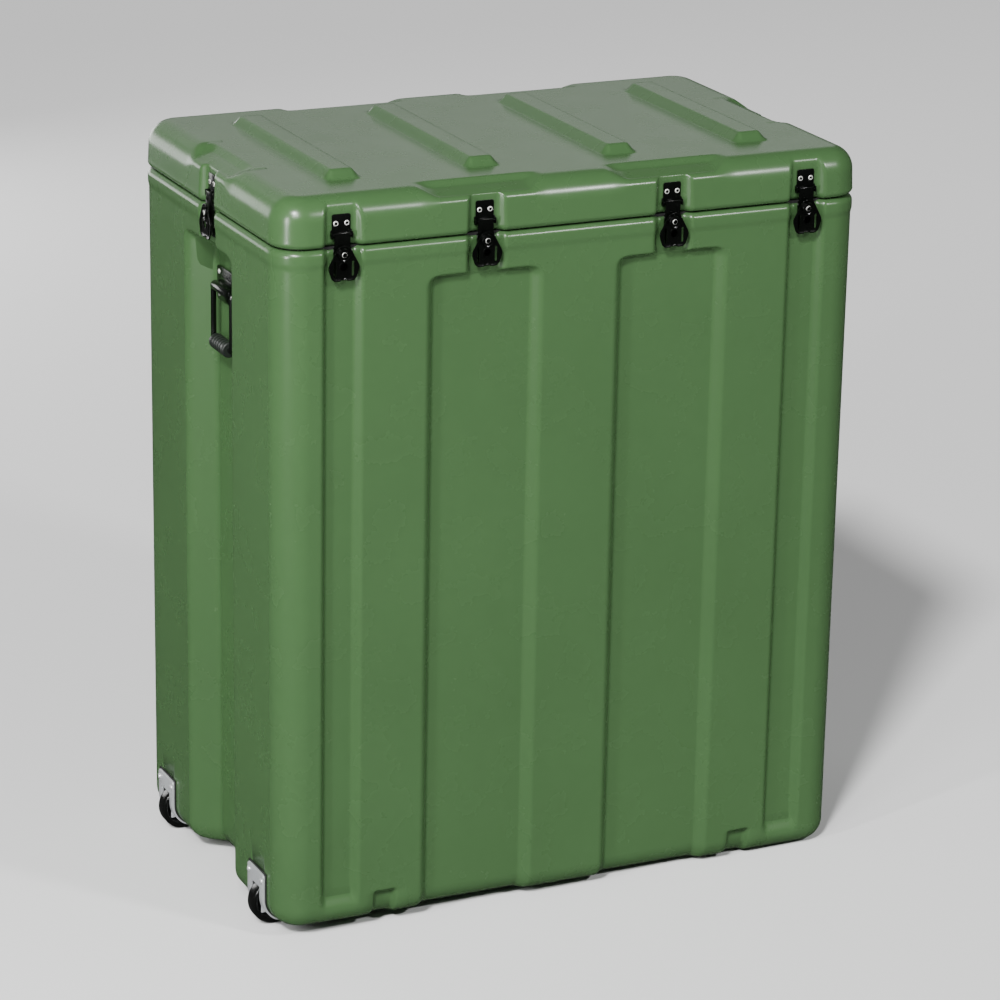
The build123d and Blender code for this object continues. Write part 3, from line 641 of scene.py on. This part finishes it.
def cutAway(piece, bm, name):
    # takes the closed shape in bm out of the piece's mesh for good
    mesh = bpy.data.meshes.new(name)
    bm.to_mesh(mesh)
    bm.free()
    cutter = bpy.data.objects.new(name, mesh)
    bpy.context.scene.collection.objects.link(cutter)
    cut = piece.modifiers.new(name, "BOOLEAN")
    cut.operation = "DIFFERENCE"
    cut.solver = "EXACT"
    cut.object = cutter
    bpy.context.view_layer.update()
    seen = piece.evaluated_get(bpy.context.evaluated_depsgraph_get())
    result = bpy.data.meshes.new_from_object(seen)
    piece.modifiers.clear()
    old = piece.data
    piece.data = result
    result.name = piece.name
    bpy.data.meshes.remove(old)
    bpy.data.objects.remove(cutter)
    bpy.data.meshes.remove(mesh)


def wellShape():
    bm = bmesh.new()
    for side in ("front", "back"):
        low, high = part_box(f"edge_wheel_{side}")
        centre, radius = (low + high) / 2, (high.x - low.x) / 2
        width = high.y - low.y + 2 * well["sideGap"]
        reach = radius + well["clearance"]
        turn = Matrix.Translation(centre) @ Matrix.Rotation(math.pi / 2, 4, "X")
        made = bmesh.ops.create_cone(bm, cap_ends=True, segments=well["sides"], radius1=reach, radius2=reach,
                                     depth=width, matrix=turn)
        # the round is drawn out to the end and down to the base
        for vertex in made["verts"]:
            if vertex.co.x < centre.x:
                vertex.co.x = centre.x - reach * 1.6
                vertex.co.z = centre.z + (reach if vertex.co.z > centre.z else -reach)
            elif vertex.co.z < centre.z:
                vertex.co.z = centre.z - reach
        bmesh.ops.remove_doubles(bm, verts=made["verts"], dist=0.00001)
    bmesh.ops.dissolve_degenerate(bm, dist=0.00001, edges=bm.edges)
    bmesh.ops.recalc_face_normals(bm, faces=bm.faces)
    return bm


body = makeBody(materials["shell_green"])
lid = makeLid(materials["shell_green"])
cutAway(body, wellShape(), "wheelWells")
print("shells made", len(body.data.polygons), len(lid.data.polygons))


# Small shape helpers

mm = 0.001


def sharpEdges(bm, angle):
    limit = math.radians(angle)
    return [e for e in bm.edges if len(e.link_faces) == 2 and e.calc_face_angle(0) > limit]


def softenEdges(bm, width, segments=2, angle=40):
    bmesh.ops.bevel(bm, geom=sharpEdges(bm, angle), offset=width, segments=segments, profile=0.5,
                    affect="EDGES", material=-1, clamp_overlap=True)


def slab(x, y, z, corner=0.0, edge=0.0003):
    # a block between pairs of x, y and z with its upright corners rounded
    bm = bmesh.new()
    bmesh.ops.create_cube(bm, size=1.0)
    size = (x[1] - x[0], y[1] - y[0], z[1] - z[0])
    middle = ((x[0] + x[1]) / 2, (y[0] + y[1]) / 2, (z[0] + z[1]) / 2)
    bmesh.ops.scale(bm, vec=size, verts=bm.verts)
    bmesh.ops.translate(bm, vec=middle, verts=bm.verts)
    if corner:
        upright = [e for e in bm.edges if abs(e.verts[0].co.z - e.verts[1].co.z) > size[2] * 0.9]
        bmesh.ops.bevel(bm, geom=upright, offset=corner, segments=5, profile=0.5, affect="EDGES", material=-1)
    if edge:
        softenEdges(bm, edge, 2, 50)
    return bm


def drum(radius, z, segments=32, edge=0.0003, turn=None, topRadius=None):
    # a round post from z[0] to z[1], turned and placed by the matrix
    bm = bmesh.new()
    place = Matrix.Translation((0, 0, (z[0] + z[1]) / 2))
    bmesh.ops.create_cone(bm, cap_ends=True, segments=segments, radius1=radius,
                          radius2=radius if topRadius is None else topRadius, depth=z[1] - z[0], matrix=place)
    if edge:
        softenEdges(bm, edge, 2, 50)
    if turn is not None:
        bmesh.ops.transform(bm, matrix=turn, verts=bm.verts)
    return bm


def dome(radius, height, base, centre=(0, 0), segments=24):
    bm = bmesh.new()
    bmesh.ops.create_uvsphere(bm, u_segments=segments, v_segments=12, radius=1.0)
    bmesh.ops.bisect_plane(bm, geom=bm.verts[:] + bm.edges[:] + bm.faces[:], plane_co=(0, 0, 0),
                           plane_no=(0, 0, 1), clear_inner=True)
    bmesh.ops.scale(bm, vec=(radius, radius, height), verts=bm.verts)
    bmesh.ops.translate(bm, vec=(centre[0], centre[1], base), verts=bm.verts)
    return bm


def joined(parts):
    whole = bmesh.new()
    for part in parts:
        mesh = bpy.data.meshes.new("part")
        part.to_mesh(mesh)
        part.free()
        whole.from_mesh(mesh)
        bpy.data.meshes.remove(mesh)
    return whole


def placed(master, frameMatrix):
    bm = bmesh.new()
    bm.from_mesh(master)
    bmesh.ops.transform(bm, matrix=frameMatrix, verts=bm.verts)
    return bm


def cutShape(bm, cutters):
    # takes the cutters out of a small closed shape and gives it back
    mesh = bpy.data.meshes.new("blank")
    bm.to_mesh(mesh)
    bm.free()
    blank = bpy.data.objects.new("blank", mesh)
    bpy.context.scene.collection.objects.link(blank)
    for cutter in cutters:
        cutAway(blank, cutter, "cutter")
    result = bmesh.new()
    result.from_mesh(blank.data)
    done = blank.data
    bpy.data.objects.remove(blank)
    bpy.data.meshes.remove(done)
    return result


def masterMesh(name, bm):
    bmesh.ops.recalc_face_normals(bm, faces=bm.faces)
    mesh = bpy.data.meshes.new(name)
    bm.to_mesh(mesh)
    bm.free()
    return mesh


# to the right along each side as seen from outside, and straight out of it
sideTurns = {
    "front": (Vector((1, 0, 0)), Vector((0, -1, 0))),
    "back": (Vector((-1, 0, 0)), Vector((0, 1, 0))),
    "left": (Vector((0, -1, 0)), Vector((-1, 0, 0))),
    "right": (Vector((0, 1, 0)), Vector((1, 0, 0))),
}


def sideFrame(side, along, out, height):
    # local right, up and out for something fixed on a side of the case
    right, outward = sideTurns[side]
    up = Vector((0, 0, 1))
    turn = Matrix((right, up, outward)).transposed().to_4x4()
    place = right * along + outward * out + up * height
    return Matrix.Translation(place) @ turn


# Latches

latch = {
    "keeper": (29.4, 4.6, 40.8), "keeperFoot": (34.4, 17.0), "sheet": 1.6, "corner": 3.0,
    "ear": (2.0, 14.0, 6.6), "bar": (9.3, 2.8, 2.0),
    "keeperRivet": (8.8, 26.8), "rivetRing": (4.0, 1.5, 1.2, 0.9), "rivetHoleShade": (2.2, 1.1),
    "dimple": (6.6, 19.0),
    # rivetHoleShade: radius and height of a black disc of painted shade standing in for each rivet's dark
    # hollow
    "strap": (25.4, -33.6, 13.3, 5.2, 6.8), "lip": (11.7, 2.0),
    "pivot": -18.6,
    "ridge": (7.0, 0.9, -4.0, 7.0, 0.5),
    "wing": ((0, 0, 13.7), (12.5, -20.0, 12.0), (-12.5, -20.0, 12.0), (12.0, -31.2, 9.0),
             (-12.0, -31.2, 9.0)),
    "wingOut": (11.6, 13.6), "brim": (1.7, 0.8, -0.6), "hole": (-18.6, 5.9), "holeRing": 1.5,
    "slot": (14.6, -21.5, 23.0, 4.0), "mouth": (5.5, 2.6), "roll": (1.7, 5.2),
    "boss": (9.0, 15.2), "bossBrim": (1.2, 0.8, -0.9), "head": (4.1, 15.2, 17.0),
}


def scaled(bm):
    bmesh.ops.scale(bm, vec=(mm, mm, mm), verts=bm.verts)
    return bm


def makeKeeper():
    width, foot, top = latch["keeper"]
    footWidth, footTop = latch["keeperFoot"]
    sheet = latch["sheet"]
    earWidth, earTop, earOut = latch["ear"]
    barUp, barOut, barRadius = latch["bar"]
    parts = [slab((-width / 2, width / 2), (foot, top), (0, sheet), latch["corner"], 0.3),
             slab((-footWidth / 2, footWidth / 2), (foot, footTop), (0, sheet - 0.02), 2.0, 0.3)]
    for side in (-1, 1):
        x = sorted((side * footWidth / 2, side * (footWidth / 2 - earWidth)))
        parts.append(slab(x, (foot, earTop), (0, earOut), 0, 0.5))
    barTurn = Matrix.Translation((0, barUp, barOut)) @ Matrix.Rotation(math.pi / 2, 4, "Y")
    parts.append(drum(barRadius, (-footWidth / 2, footWidth / 2), 20, 0, barTurn))
    x, y = latch["dimple"]
    for side in (-1, 1):
        parts.append(dome(1.3, 0.38, sheet - 0.05, (side * x, y), 14))
    return masterMesh("keeper", scaled(joined(parts)))


def ringRivet(x, y, base):
    # a pop rivet seen from outside: a rolled ring round a sunk middle; the darkness of its hollow is painted
    # shade, a black disc added separately
    radius, height, brim, sink = latch["rivetRing"]
    bm = dome(radius, height, base, (x, y), 24)
    top = [f for f in bm.faces if f.calc_center_median().z > base + brim]
    bmesh.ops.translate(bm, vec=(0, 0, -sink), verts=list({v for f in top for v in f.verts}))
    return bm


def makeKeeperRivets():
    x, y = latch["keeperRivet"]
    rings = [ringRivet(side * x, y, latch["sheet"]) for side in (-1, 1)]
    return masterMesh("keeperRivets", scaled(joined(rings)))


def makeRivetHoleShades():
    # painted shade: a black disc in each rivet's middle stands for the shade inside its hollow
    x, y = latch["keeperRivet"]
    base = latch["sheet"]
    radius, height = latch["rivetHoleShade"]
    parts = [drum(radius, (base, base + height), 18, 0, Matrix.Translation((side * x, y, 0)))
             for side in (-1, 1)]
    return masterMesh("rivetHoleShades", scaled(joined(parts)))


def makeHook():
    width, foot, top, inner, outer = latch["strap"]
    lipFoot, lipIn = latch["lip"]
    bm = slab((-width / 2, width / 2), (foot, top), (inner, outer), 0, 0)
    edges = [e for e in bm.edges if all(v.co.y > top - 0.1 and v.co.z > outer - 0.1 for v in e.verts)]
    bmesh.ops.bevel(bm, geom=edges, offset=1.5, segments=5, profile=0.5, affect="EDGES", material=-1)
    softenEdges(bm, 0.25, 2, 60)
    lip = slab((-width / 2, width / 2), (lipFoot, top - 0.02), (lipIn, inner + 0.6), 0, 0.25)
    # two pressed ridges stiffen the strap
    x, half, ridgeFoot, ridgeTop, rise = latch["ridge"]
    ridges = [slab((side * x - half, side * x + half), (ridgeFoot, ridgeTop), (outer - 0.3, outer + rise),
                   0.8, 0.25) for side in (-1, 1)]
    return masterMesh("hook", scaled(joined([bm, lip] + ridges)))


def makeWing():
    bm = bmesh.new()
    for x, y, radius in latch["wing"]:
        bmesh.ops.create_circle(bm, segments=40, radius=radius, matrix=Matrix.Translation((x, y, 0)))
    hull = bmesh.ops.convex_hull(bm, input=bm.verts, use_existing_faces=False)
    spare = [g for g in hull["geom_interior"] + hull["geom_unused"] if isinstance(g, bmesh.types.BMVert)]
    bmesh.ops.delete(bm, geom=list(set(spare)), context="VERTS")
    bmesh.ops.dissolve_limit(bm, angle_limit=0.02, verts=bm.verts, edges=bm.edges,
                             use_dissolve_boundaries=False)
    faces = bm.faces[:1]
    bmesh.ops.delete(bm, geom=bm.faces[1:], context="FACES_ONLY")
    low, high = latch["wingOut"]
    bmesh.ops.translate(bm, vec=(0, 0, low), verts=bm.verts)
    grown = bmesh.ops.extrude_face_region(bm, geom=faces)["geom"]
    raised = [g for g in grown if isinstance(g, bmesh.types.BMVert)]
    bmesh.ops.translate(bm, vec=(0, 0, high - low), verts=raised)
    bmesh.ops.recalc_face_normals(bm, faces=bm.faces)
    top = [f for f in bm.faces if f.normal.z > 0.9]
    brim, slope, sink = latch["brim"]
    bmesh.ops.inset_region(bm, faces=top, thickness=brim, use_even_offset=True)
    bmesh.ops.inset_region(bm, faces=top, thickness=slope, depth=sink, use_even_offset=True)
    softenEdges(bm, 0.3, 2, 50)
    holeY, holeRadius = latch["hole"]
    slotX, slotY, slotLong, slotWide = latch["slot"]
    through = (low - 2, high + 2)
    holePlace = Matrix.Translation((0, holeY, 0))
    cutters = [drum(holeRadius, through, 32, 0, holePlace)]
    for side in (-1, 1):
        x = (side * slotX - slotWide / 2, side * slotX + slotWide / 2)
        cutters.append(slab(x, (slotY - slotLong / 2, slotY + slotLong / 2), through, 1.95, 0))
    foot = min(y - radius for x, y, radius in latch["wing"])
    mouthHalf, mouthHigh = latch["mouth"]
    cutters.append(slab((-mouthHalf, mouthHalf), (foot - 3, foot + mouthHigh), through, 0, 0))
    bm = cutShape(bm, cutters)
    lipRing = drum(holeRadius + latch["holeRing"], (low + 0.2, high + 0.25), 32, 0, holePlace)
    lipRing = cutShape(lipRing, [drum(holeRadius, through, 32, 0, holePlace)])
    softenEdges(lipRing, 0.3, 2, 50)
    rollRadius, rollHalf = latch["roll"]
    rollTurn = Matrix.Translation((0, foot + 2.9, low + 0.9)) @ Matrix.Rotation(math.pi / 2, 4, "Y")
    roll = drum(rollRadius, (-rollHalf, rollHalf), 16, 0.3, rollTurn)
    radius, bossHigh = latch["boss"]
    boss = drum(radius, (low, bossHigh), 40, 0.4)
    rim = [f for f in boss.faces if f.normal.z > 0.9]
    brim, slope, sink = latch["bossBrim"]
    bmesh.ops.inset_region(boss, faces=rim, thickness=brim)
    bmesh.ops.inset_region(boss, faces=rim, thickness=slope, depth=sink)
    whole = joined([bm, lipRing, roll, boss])
    bmesh.ops.translate(whole, vec=(0, latch["pivot"], 0), verts=whole.verts)
    return masterMesh("wing", scaled(whole))


def makePivotHead():
    radius, low, high = latch["head"]
    return masterMesh("pivotHead", scaled(dome(radius, high - low, low, (0, latch["pivot"]), 24)))


def latchFrames():
    frames = {}
    for name in [n[len("latch_arm_"):] for n in cadNodes if n.startswith("latch_arm_")]:
        side = name.split("_")[0]
        right, outward = sideTurns[side]
        low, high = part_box(f"latch_arm_{name}")
        along = ((low + high) / 2).dot(right)
        many = side in ("front", "back")
        low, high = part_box(f"latch_bases_{side}" if many else f"latch_base_{side}")
        out = min(low.dot(outward), high.dot(outward))
        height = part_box(f"latch_hook_{name}")[1].z - latch["strap"][2] * mm
        frames[name] = sideFrame(side, along, out, height)
    return frames


def makeLatches():
    masters = {"keeper": makeKeeper(), "rivets": makeKeeperRivets(), "hook": makeHook(),
               "wing": makeWing(), "head": makePivotHead(), "middles": makeRivetHoleShades()}
    black, steel = materials["latch_black"], materials["rivet_steel"]
    frames = latchFrames()
    for name, place in frames.items():
        addPiece(f"hook_{name}", placed(masters["hook"], place), f"hook_{name}", black,
                 [f"latch_hook_{name}"], 40)
        addPiece(f"wing_{name}", placed(masters["wing"], place), f"wing_{name}", black,
                 [f"latch_wing_{name}"], 40)
        addPiece(f"pivotHead_{name}", placed(masters["head"], place), f"arm_{name}", steel, [],
                 60)
    for side in ("front", "back", "left", "right"):
        mine = [place for name, place in frames.items() if name.startswith(side)]
        node = f"latch_keepers_{side}" if len(mine) > 1 else f"latch_keeper_{side}"
        addPiece(f"keepers_{side}", joined([placed(masters["keeper"], place) for place in mine]), "lid",
                 black, [node], 40)
    addPiece("ringRivets", joined([placed(masters["rivets"], place) for place in frames.values()]), "lid",
             steel, ["keeper_rivets"], 50)
    # painted shade: black discs fill the rivets' hollow middles
    addPiece("rivetHoleShades", joined([placed(masters["middles"], place) for place in frames.values()]), "lid",
             black, [], 50)
    for mesh in masters.values():
        bpy.data.meshes.remove(mesh)
    print("latches made", len(frames))


makeLatches()


# Drop handles

# the bail hangs between its two rods' middles
bailLow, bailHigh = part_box("handle_bail_left")
rodRadius = 0.0044
bailDrop = bailHigh.z - bailLow.z - 2 * rodRadius

handle = {
    "plate": (106.0, 54.0, 3.0, 5.0),
    "pivotOut": 14.0,
    "barrel": (8.0, 66.0),
    "rod": rodRadius / mm, "bailHalf": 39.5, "drop": bailDrop / mm, "corner": 6.0, "rodStart": 26.0,
    "grip": (12.4, 60.0), "gripGrooves": (-18.0, -9.0, 0.0, 9.0, 18.0),
    "grooveShape": ((-1.7, 0), (-0.8, 0.5), (0, 0.7), (0.8, 0.5), (1.7, 0)),
    "seam": (5, 2, 0.5, 1.4),
    "rivet": (43.0, 18.0, 4.0, 1.9),
}


def bailPath():
    # half of the bent rod as places and directions, then its mirror
    half, drop, corner = handle["bailHalf"], handle["drop"], handle["corner"]
    path = [((handle["rodStart"], 0), (1, 0))]
    for k in range(0, 9):
        turn = math.pi / 2 * k / 8
        place = (half - corner + corner * math.sin(turn), -corner + corner * math.cos(turn))
        path.append((place, (math.cos(turn), -math.sin(turn))))
    for k in range(0, 9):
        turn = math.pi / 2 * k / 8
        place = (half - corner + corner * math.cos(turn), -drop + corner - corner * math.sin(turn))
        path.append((place, (-math.sin(turn), -math.cos(turn))))
    return path + [((-x, y), (dx, -dy)) for (x, y), (dx, dy) in reversed(path)]


def makeBail():
    rings = []
    out, radius, sides = handle["pivotOut"], handle["rod"], 20
    for (x, y), (dx, dy) in bailPath():
        across = Vector((-dy, dx, 0))
        middle = Vector((x, y, out))
        rings.append([middle + across * radius * math.cos(a) + Vector((0, 0, radius * math.sin(a)))
                      for a in [2 * math.pi * k / sides for k in range(sides)]])
    bm = bmesh.new()
    loops = loft(bm, rings)
    capEnds(bm, loops)
    return masterMesh("bail", scaled(bm))


def makeGrip():
    radius, length = handle["grip"]
    half = length / 2
    places = [(-half, radius - 3.5), (-half, radius - 1.6), (-half + 0.5, radius - 0.6),
              (-half + 1.8, radius)]
    for groove in handle["gripGrooves"]:
        places += [(groove + along, radius - cut) for along, cut in handle["grooveShape"]]
    places += [(half - 1.8, radius), (half - 0.5, radius - 0.6), (half, radius - 1.6), (half, radius - 3.5)]
    rings = [[Vector((x, -handle["drop"] + r * math.cos(2 * math.pi * k / 40),
                      handle["pivotOut"] + r * math.sin(2 * math.pi * k / 40))) for k in range(40)]
             for x, r in places]
    bm = bmesh.new()
    loops = loft(bm, rings)
    capEnds(bm, loops)
    return masterMesh("grip", scaled(bm))


def makeHandlePlate():
    width, height, sheet, corner = handle["plate"]
    radius, length = handle["barrel"]
    out = handle["pivotOut"]
    parts = [slab((-width / 2, width / 2), (-height / 2, height / 2), (0, sheet), corner, 0.5)]
    turn = Matrix.Translation((0, 0, out)) @ Matrix.Rotation(math.pi / 2, 4, "Y")
    parts.append(drum(radius, (-length / 2, length / 2), 40, 0.8, turn))
    parts.append(slab((-length / 2 + 1, length / 2 - 1), (-radius, radius), (sheet - 1, out), 0, 0.4))
    # the seam where the rolled sheet comes back to the plate
    beyond, within, sunk, rise = handle["seam"]
    for y in ((-radius - beyond, -radius + within), (radius - within, radius + beyond)):
        parts.append(slab((-length / 2, length / 2), y, (sheet - sunk, sheet + rise), 0, 0.5))
    return masterMesh("handlePlate", scaled(joined(parts)))


def makeHandles():
    masters = {"bail": makeBail(), "grip": makeGrip(), "plate": makeHandlePlate()}
    rivets = []
    for side in ("left", "right"):
        right, outward = sideTurns[side]
        low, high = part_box(f"handle_plate_{side}")
        out = min(low.dot(outward), high.dot(outward))
        place = sideFrame(side, 0, out, (low.z + high.z) / 2)
        black = materials["handle_black"]
        addPiece(f"handlePlate_{side}", placed(masters["plate"], place), "case", black,
                 [f"handle_plate_{side}"], 40)
        addPiece(f"bail_{side}", placed(masters["bail"], place), f"bail_{side}", black,
                 [f"handle_bail_{side}"], 60)
        addPiece(f"grip_{side}", placed(masters["grip"], place), f"bail_{side}",
                 materials["grip_rubber"], [f"handle_grip_{side}"], 70)
        x, y, radius, height = handle["rivet"]
        for turnX, turnY in ((-1, -1), (-1, 1), (1, -1), (1, 1)):
            bm = scaled(dome(radius, height, handle["plate"][2], (turnX * x, turnY * y)))
            bmesh.ops.transform(bm, matrix=place, verts=bm.verts)
            rivets.append(bm)
    addPiece("handleRivets", joined(rivets), "case", materials["rivet_steel"],
             ["handle_rivets"], 60)
    for mesh in masters.values():
        bpy.data.meshes.remove(mesh)
    print("handles made")


makeHandles()


# Edge wheels

caster = {
    "bend": 0.039, "bendHeight": 0.034, "sheet": 0.003,
    "slotHalf": 0.0165, "slotTop": 0.051, "corner": 0.007,
    "cheek": 0.0025, "cheekGap": 0.002, "hub": 0.012,
    "bolt": (0.027, 0.065, 0.0046, 0.0034), "baseBoltBack": 0.0086,
    "wheelProfile": ((4.1, 10.5), (7.5, 12.5), (10.5, 12.5), (12.0, 10.2), (23.0, 9.6), (26.5, 12.6),
                     (30.5, 13.9), (33.4, 13.6), (35.6, 12.0), (36.7, 9.4), (37.0, 6.0)),
}


def bracketSheet(low, high):
    # the outer face of the bent strap as a grid, thickened inwards
    bend = caster["bend"]
    centreX, centreZ = low.x + bend, caster["bendHeight"]
    path = [(low.x, high.z + (centreZ - high.z) * k / 8) for k in range(0, 8)]
    turns = [math.pi / 2 * k / 16 for k in range(0, 17)]
    path += [(centreX - bend * math.cos(turn), centreZ - bend * math.sin(turn)) for turn in turns]
    path += [(centreX + (high.x - centreX) * k / 6, low.z) for k in range(1, 7)]
    middle = (low.y + high.y) / 2
    rows = [low.y, middle - caster["slotHalf"], middle + caster["slotHalf"], high.y]
    bm = bmesh.new()
    made = bmesh.ops.create_grid(bm, x_segments=len(path) - 1, y_segments=3, size=1.0)
    for vertex in made["verts"]:
        x, z = path[round((vertex.co.x + 1) / 2 * (len(path) - 1))]
        vertex.co = (x, rows[round((vertex.co.y + 1) * 1.5)], z)
    slotLevel = high.z + (centreZ - high.z) * 5 / 8
    level = [v for v in bm.verts if abs(v.co.z - slotLevel) < 0.003 and v.co.x < low.x + 1e-5]
    for vertex in level:
        vertex.co.z = caster["slotTop"]
    slotEnd = caster["slotEnd"]
    gone = [f for f in bm.faces if abs(f.calc_center_median().y - middle) < caster["slotHalf"]
            and f.calc_center_median().z < caster["slotTop"] and f.calc_center_median().x < slotEnd]
    bmesh.ops.delete(bm, geom=gone, context="FACES")
    bmesh.ops.recalc_face_normals(bm, faces=bm.faces)
    facing = next(f for f in bm.faces if f.calc_center_median().z > caster["slotTop"])
    if facing.normal.x > 0:
        bmesh.ops.reverse_faces(bm, faces=bm.faces)
    bmesh.ops.solidify(bm, geom=bm.faces[:], thickness=caster["sheet"])
    bmesh.ops.recalc_face_normals(bm, faces=bm.faces)
    corners = [e for e in bm.edges if abs(abs(e.verts[0].co.x - e.verts[1].co.x) - caster["sheet"]) < 1e-4
               and all(v.co.z > high.z - 1e-4 for v in e.verts)
               and all(min(abs(v.co.y - low.y), abs(v.co.y - high.y)) < 1e-4 for v in e.verts)]
    bmesh.ops.bevel(bm, geom=corners, offset=caster["corner"], segments=5, profile=0.5, affect="EDGES",
                    material=-1)
    softenEdges(bm, 0.0005, 2, 50)
    return bm


def wheelBody(middle, radius):
    # one half of the tread and side, mirrored, turned round the axle
    half = [(r * mm * radius / 0.037, y * mm) for r, y in caster["wheelProfile"]]
    profile = [(r, -y) for r, y in half] + [(r, y) for r, y in reversed(half)]
    profile.append(profile[0])
    sides = 72
    turns = [2 * math.pi * k / sides for k in range(sides)]
    rings = [[middle + Vector((r * math.cos(turn), y, r * math.sin(turn))) for turn in turns]
             for r, y in profile]
    bm = bmesh.new()
    loft(bm, rings)
    bmesh.ops.remove_doubles(bm, verts=bm.verts, dist=0.00001)
    bmesh.ops.recalc_face_normals(bm, faces=bm.faces)
    return bm


def makeCasters():
    domes = []
    for side in ("front", "back"):
        low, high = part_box(f"wheel_bracket_{side}")
        wheelLow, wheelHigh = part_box(f"edge_wheel_{side}")
        middle = (wheelLow + wheelHigh) / 2
        radius = (wheelHigh.x - wheelLow.x) / 2
        caster["slotEnd"] = middle.x + radius + well["clearance"]
        parts = [bracketSheet(low, high)]
        for turn in (-1, 1):
            inner = (wheelHigh.y - wheelLow.y) / 2 + caster["cheekGap"]
            y = sorted((middle.y + turn * inner, middle.y + turn * (inner + caster["cheek"])))
            lie = Matrix.Translation((middle.x, 0, middle.z)) @ Matrix.Rotation(-math.pi / 2, 4, "X")
            parts.append(drum(caster["hub"], y, 32, 0.0003, lie))
            reach = (low.x + caster["sheet"], middle.x)
            parts.append(slab(reach, y, (middle.z - caster["hub"], middle.z + caster["hub"]), 0, 0.0003))
        addPiece(f"bracket_{side}", joined(parts), "case", materials["bracket_zinc"],
                 [f"wheel_bracket_{side}"], 40)
        addPiece(f"wheel_{side}", wheelBody(middle, radius), f"wheel_{side}",
                 materials["wheel_black"], [f"edge_wheel_{side}"], 60)
        offset, height, boltRadius, boltHeight = caster["bolt"]
        for turn in (-1, 1):
            bm = dome(boltRadius, boltHeight, 0, (0, 0))
            face = Matrix.Translation((low.x, middle.y + turn * offset, height))
            bmesh.ops.transform(bm, matrix=face @ Matrix.Rotation(-math.pi / 2, 4, "Y"), verts=bm.verts)
            domes.append(bm)
            bm = dome(boltRadius, boltHeight, 0, (0, 0))
            under = Matrix.Translation((high.x - caster["baseBoltBack"], middle.y + turn * offset, low.z))
            bmesh.ops.transform(bm, matrix=under @ Matrix.Rotation(math.pi, 4, "X"), verts=bm.verts)
            domes.append(bm)
    addPiece("bracketBolts", joined(domes), "case", materials["bolt_steel"],
             ["bracket_bolts"], 60)
    print("edge wheels made")


makeCasters()


# Camera, floor and lights

view = {
    "location": (-2.5508, -5.5100, 2.6001),
    "right": (0.90886, -0.41673, 0.01716),
    "up": (0.11800, 0.29637, 0.94775),
    "forward": (0.40005, 0.85936, -0.31854),
    "lens": 142.27,
}


lighting = {
    "sky": 0.06,
    "key": 4.8,
    "keyAngle": 7,
    "keyFrom": (-0.51, -0.55, 0.69),
    "softboxes": (
        ("keySoft", (-2.0, -2.8, 3.2), (0, 0, 0.9), 1.0, 6, 1.0),
        ("shoulderSoft", (2.4, -4.4, 3.9), (0, 0, 1.0), 0.55, 200, 0.24),
        ("lidSoft", (-1.35, -1.5, 2.1), (-0.3, -0.3, 1.15), 0.5, 24, 0.5),
        ("cornerStrip", (-2.3, -1.15, 1.25), (-0.5, -0.3, 1.0), 0.13, 44, 1.0),
        ("backSoft", (1.0, 5.0, 3.0), (0, 0, 1.1), 6.0, 32, 2.2),
        ("backFill", (-1.2, 4.5, 1.1), (0, 0, 0.6), 3.0, 70, 1.4),
    ),
}


def makeCamera():
    data = bpy.data.cameras.new("camera")
    data.lens = view["lens"]
    data.sensor_width = 36
    data.clip_end = 100
    camera = bpy.data.objects.new("camera", data)
    bpy.context.scene.collection.objects.link(camera)
    turn = Matrix((view["right"], view["up"], [-v for v in view["forward"]])).transposed()
    camera.matrix_world = Matrix.Translation(view["location"]) @ turn.to_4x4()
    bpy.context.scene.camera = camera


def makeFloor():
    # the case stands on its two wheels and the far bottom edge, so the floor slopes a little
    wheelLow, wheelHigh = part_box("edge_wheel_front")
    wheelX = (wheelLow.x + wheelHigh.x) / 2
    edgeX = shell["halfX"] - bodyShape["baseRadius"]
    slope = math.atan2(-wheelLow.z, edgeX - wheelX)
    bm = bmesh.new()
    bmesh.ops.create_grid(bm, x_segments=1, y_segments=1, size=20)
    place = Matrix.Translation((edgeX, 0, -0.0005)) @ Matrix.Rotation(-slope, 4, "Y")
    bmesh.ops.transform(bm, matrix=place, verts=bm.verts)
    mesh = bpy.data.meshes.new("floor")
    bm.to_mesh(mesh)
    bm.free()
    floor = bpy.data.objects.new("floor", mesh)
    bpy.context.scene.collection.objects.link(floor)
    material = bpy.data.materials.new("pale floor")
    material.use_nodes = True
    principled = material.node_tree.nodes["Principled BSDF"]
    principled.inputs["Base Color"].default_value = (0.68, 0.68, 0.68, 1)
    principled.inputs["Roughness"].default_value = 0.9
    mesh.materials.append(material)
    # the gloss shows the lamps and a dim room, not the pale floor
    floor.visible_glossy = False


def addLight(name, place, target, size, power, sizeY=None):
    data = bpy.data.lights.new(name, "AREA")
    data.energy = power
    data.shape = "RECTANGLE"
    data.size, data.size_y = size, sizeY or size
    light = bpy.data.objects.new(name, data)
    light.location = place
    light.rotation_euler = (Vector(target) - Vector(place)).to_track_quat("-Z", "Y").to_euler()
    bpy.context.scene.collection.objects.link(light)


def makeLights():
    world = bpy.data.worlds.new("studio")
    bpy.context.scene.world = world
    world.use_nodes = True
    world.node_tree.nodes["Background"].inputs["Color"].default_value = (1, 1, 1, 1)
    world.node_tree.nodes["Background"].inputs["Strength"].default_value = lighting["sky"]
    key = bpy.data.lights.new("key", "SUN")
    key.energy = lighting["key"]
    key.angle = math.radians(lighting["keyAngle"])
    sun = bpy.data.objects.new("key", key)
    sun.rotation_euler = Vector(lighting["keyFrom"]).to_track_quat("Z", "Y").to_euler()
    bpy.context.scene.collection.objects.link(sun)
    for name, place, target, size, power, sizeY in lighting["softboxes"]:
        addLight(name, place, target, size, power, sizeY)


makeCamera()
makeFloor()
makeLights()
print("camera, floor and lights set")
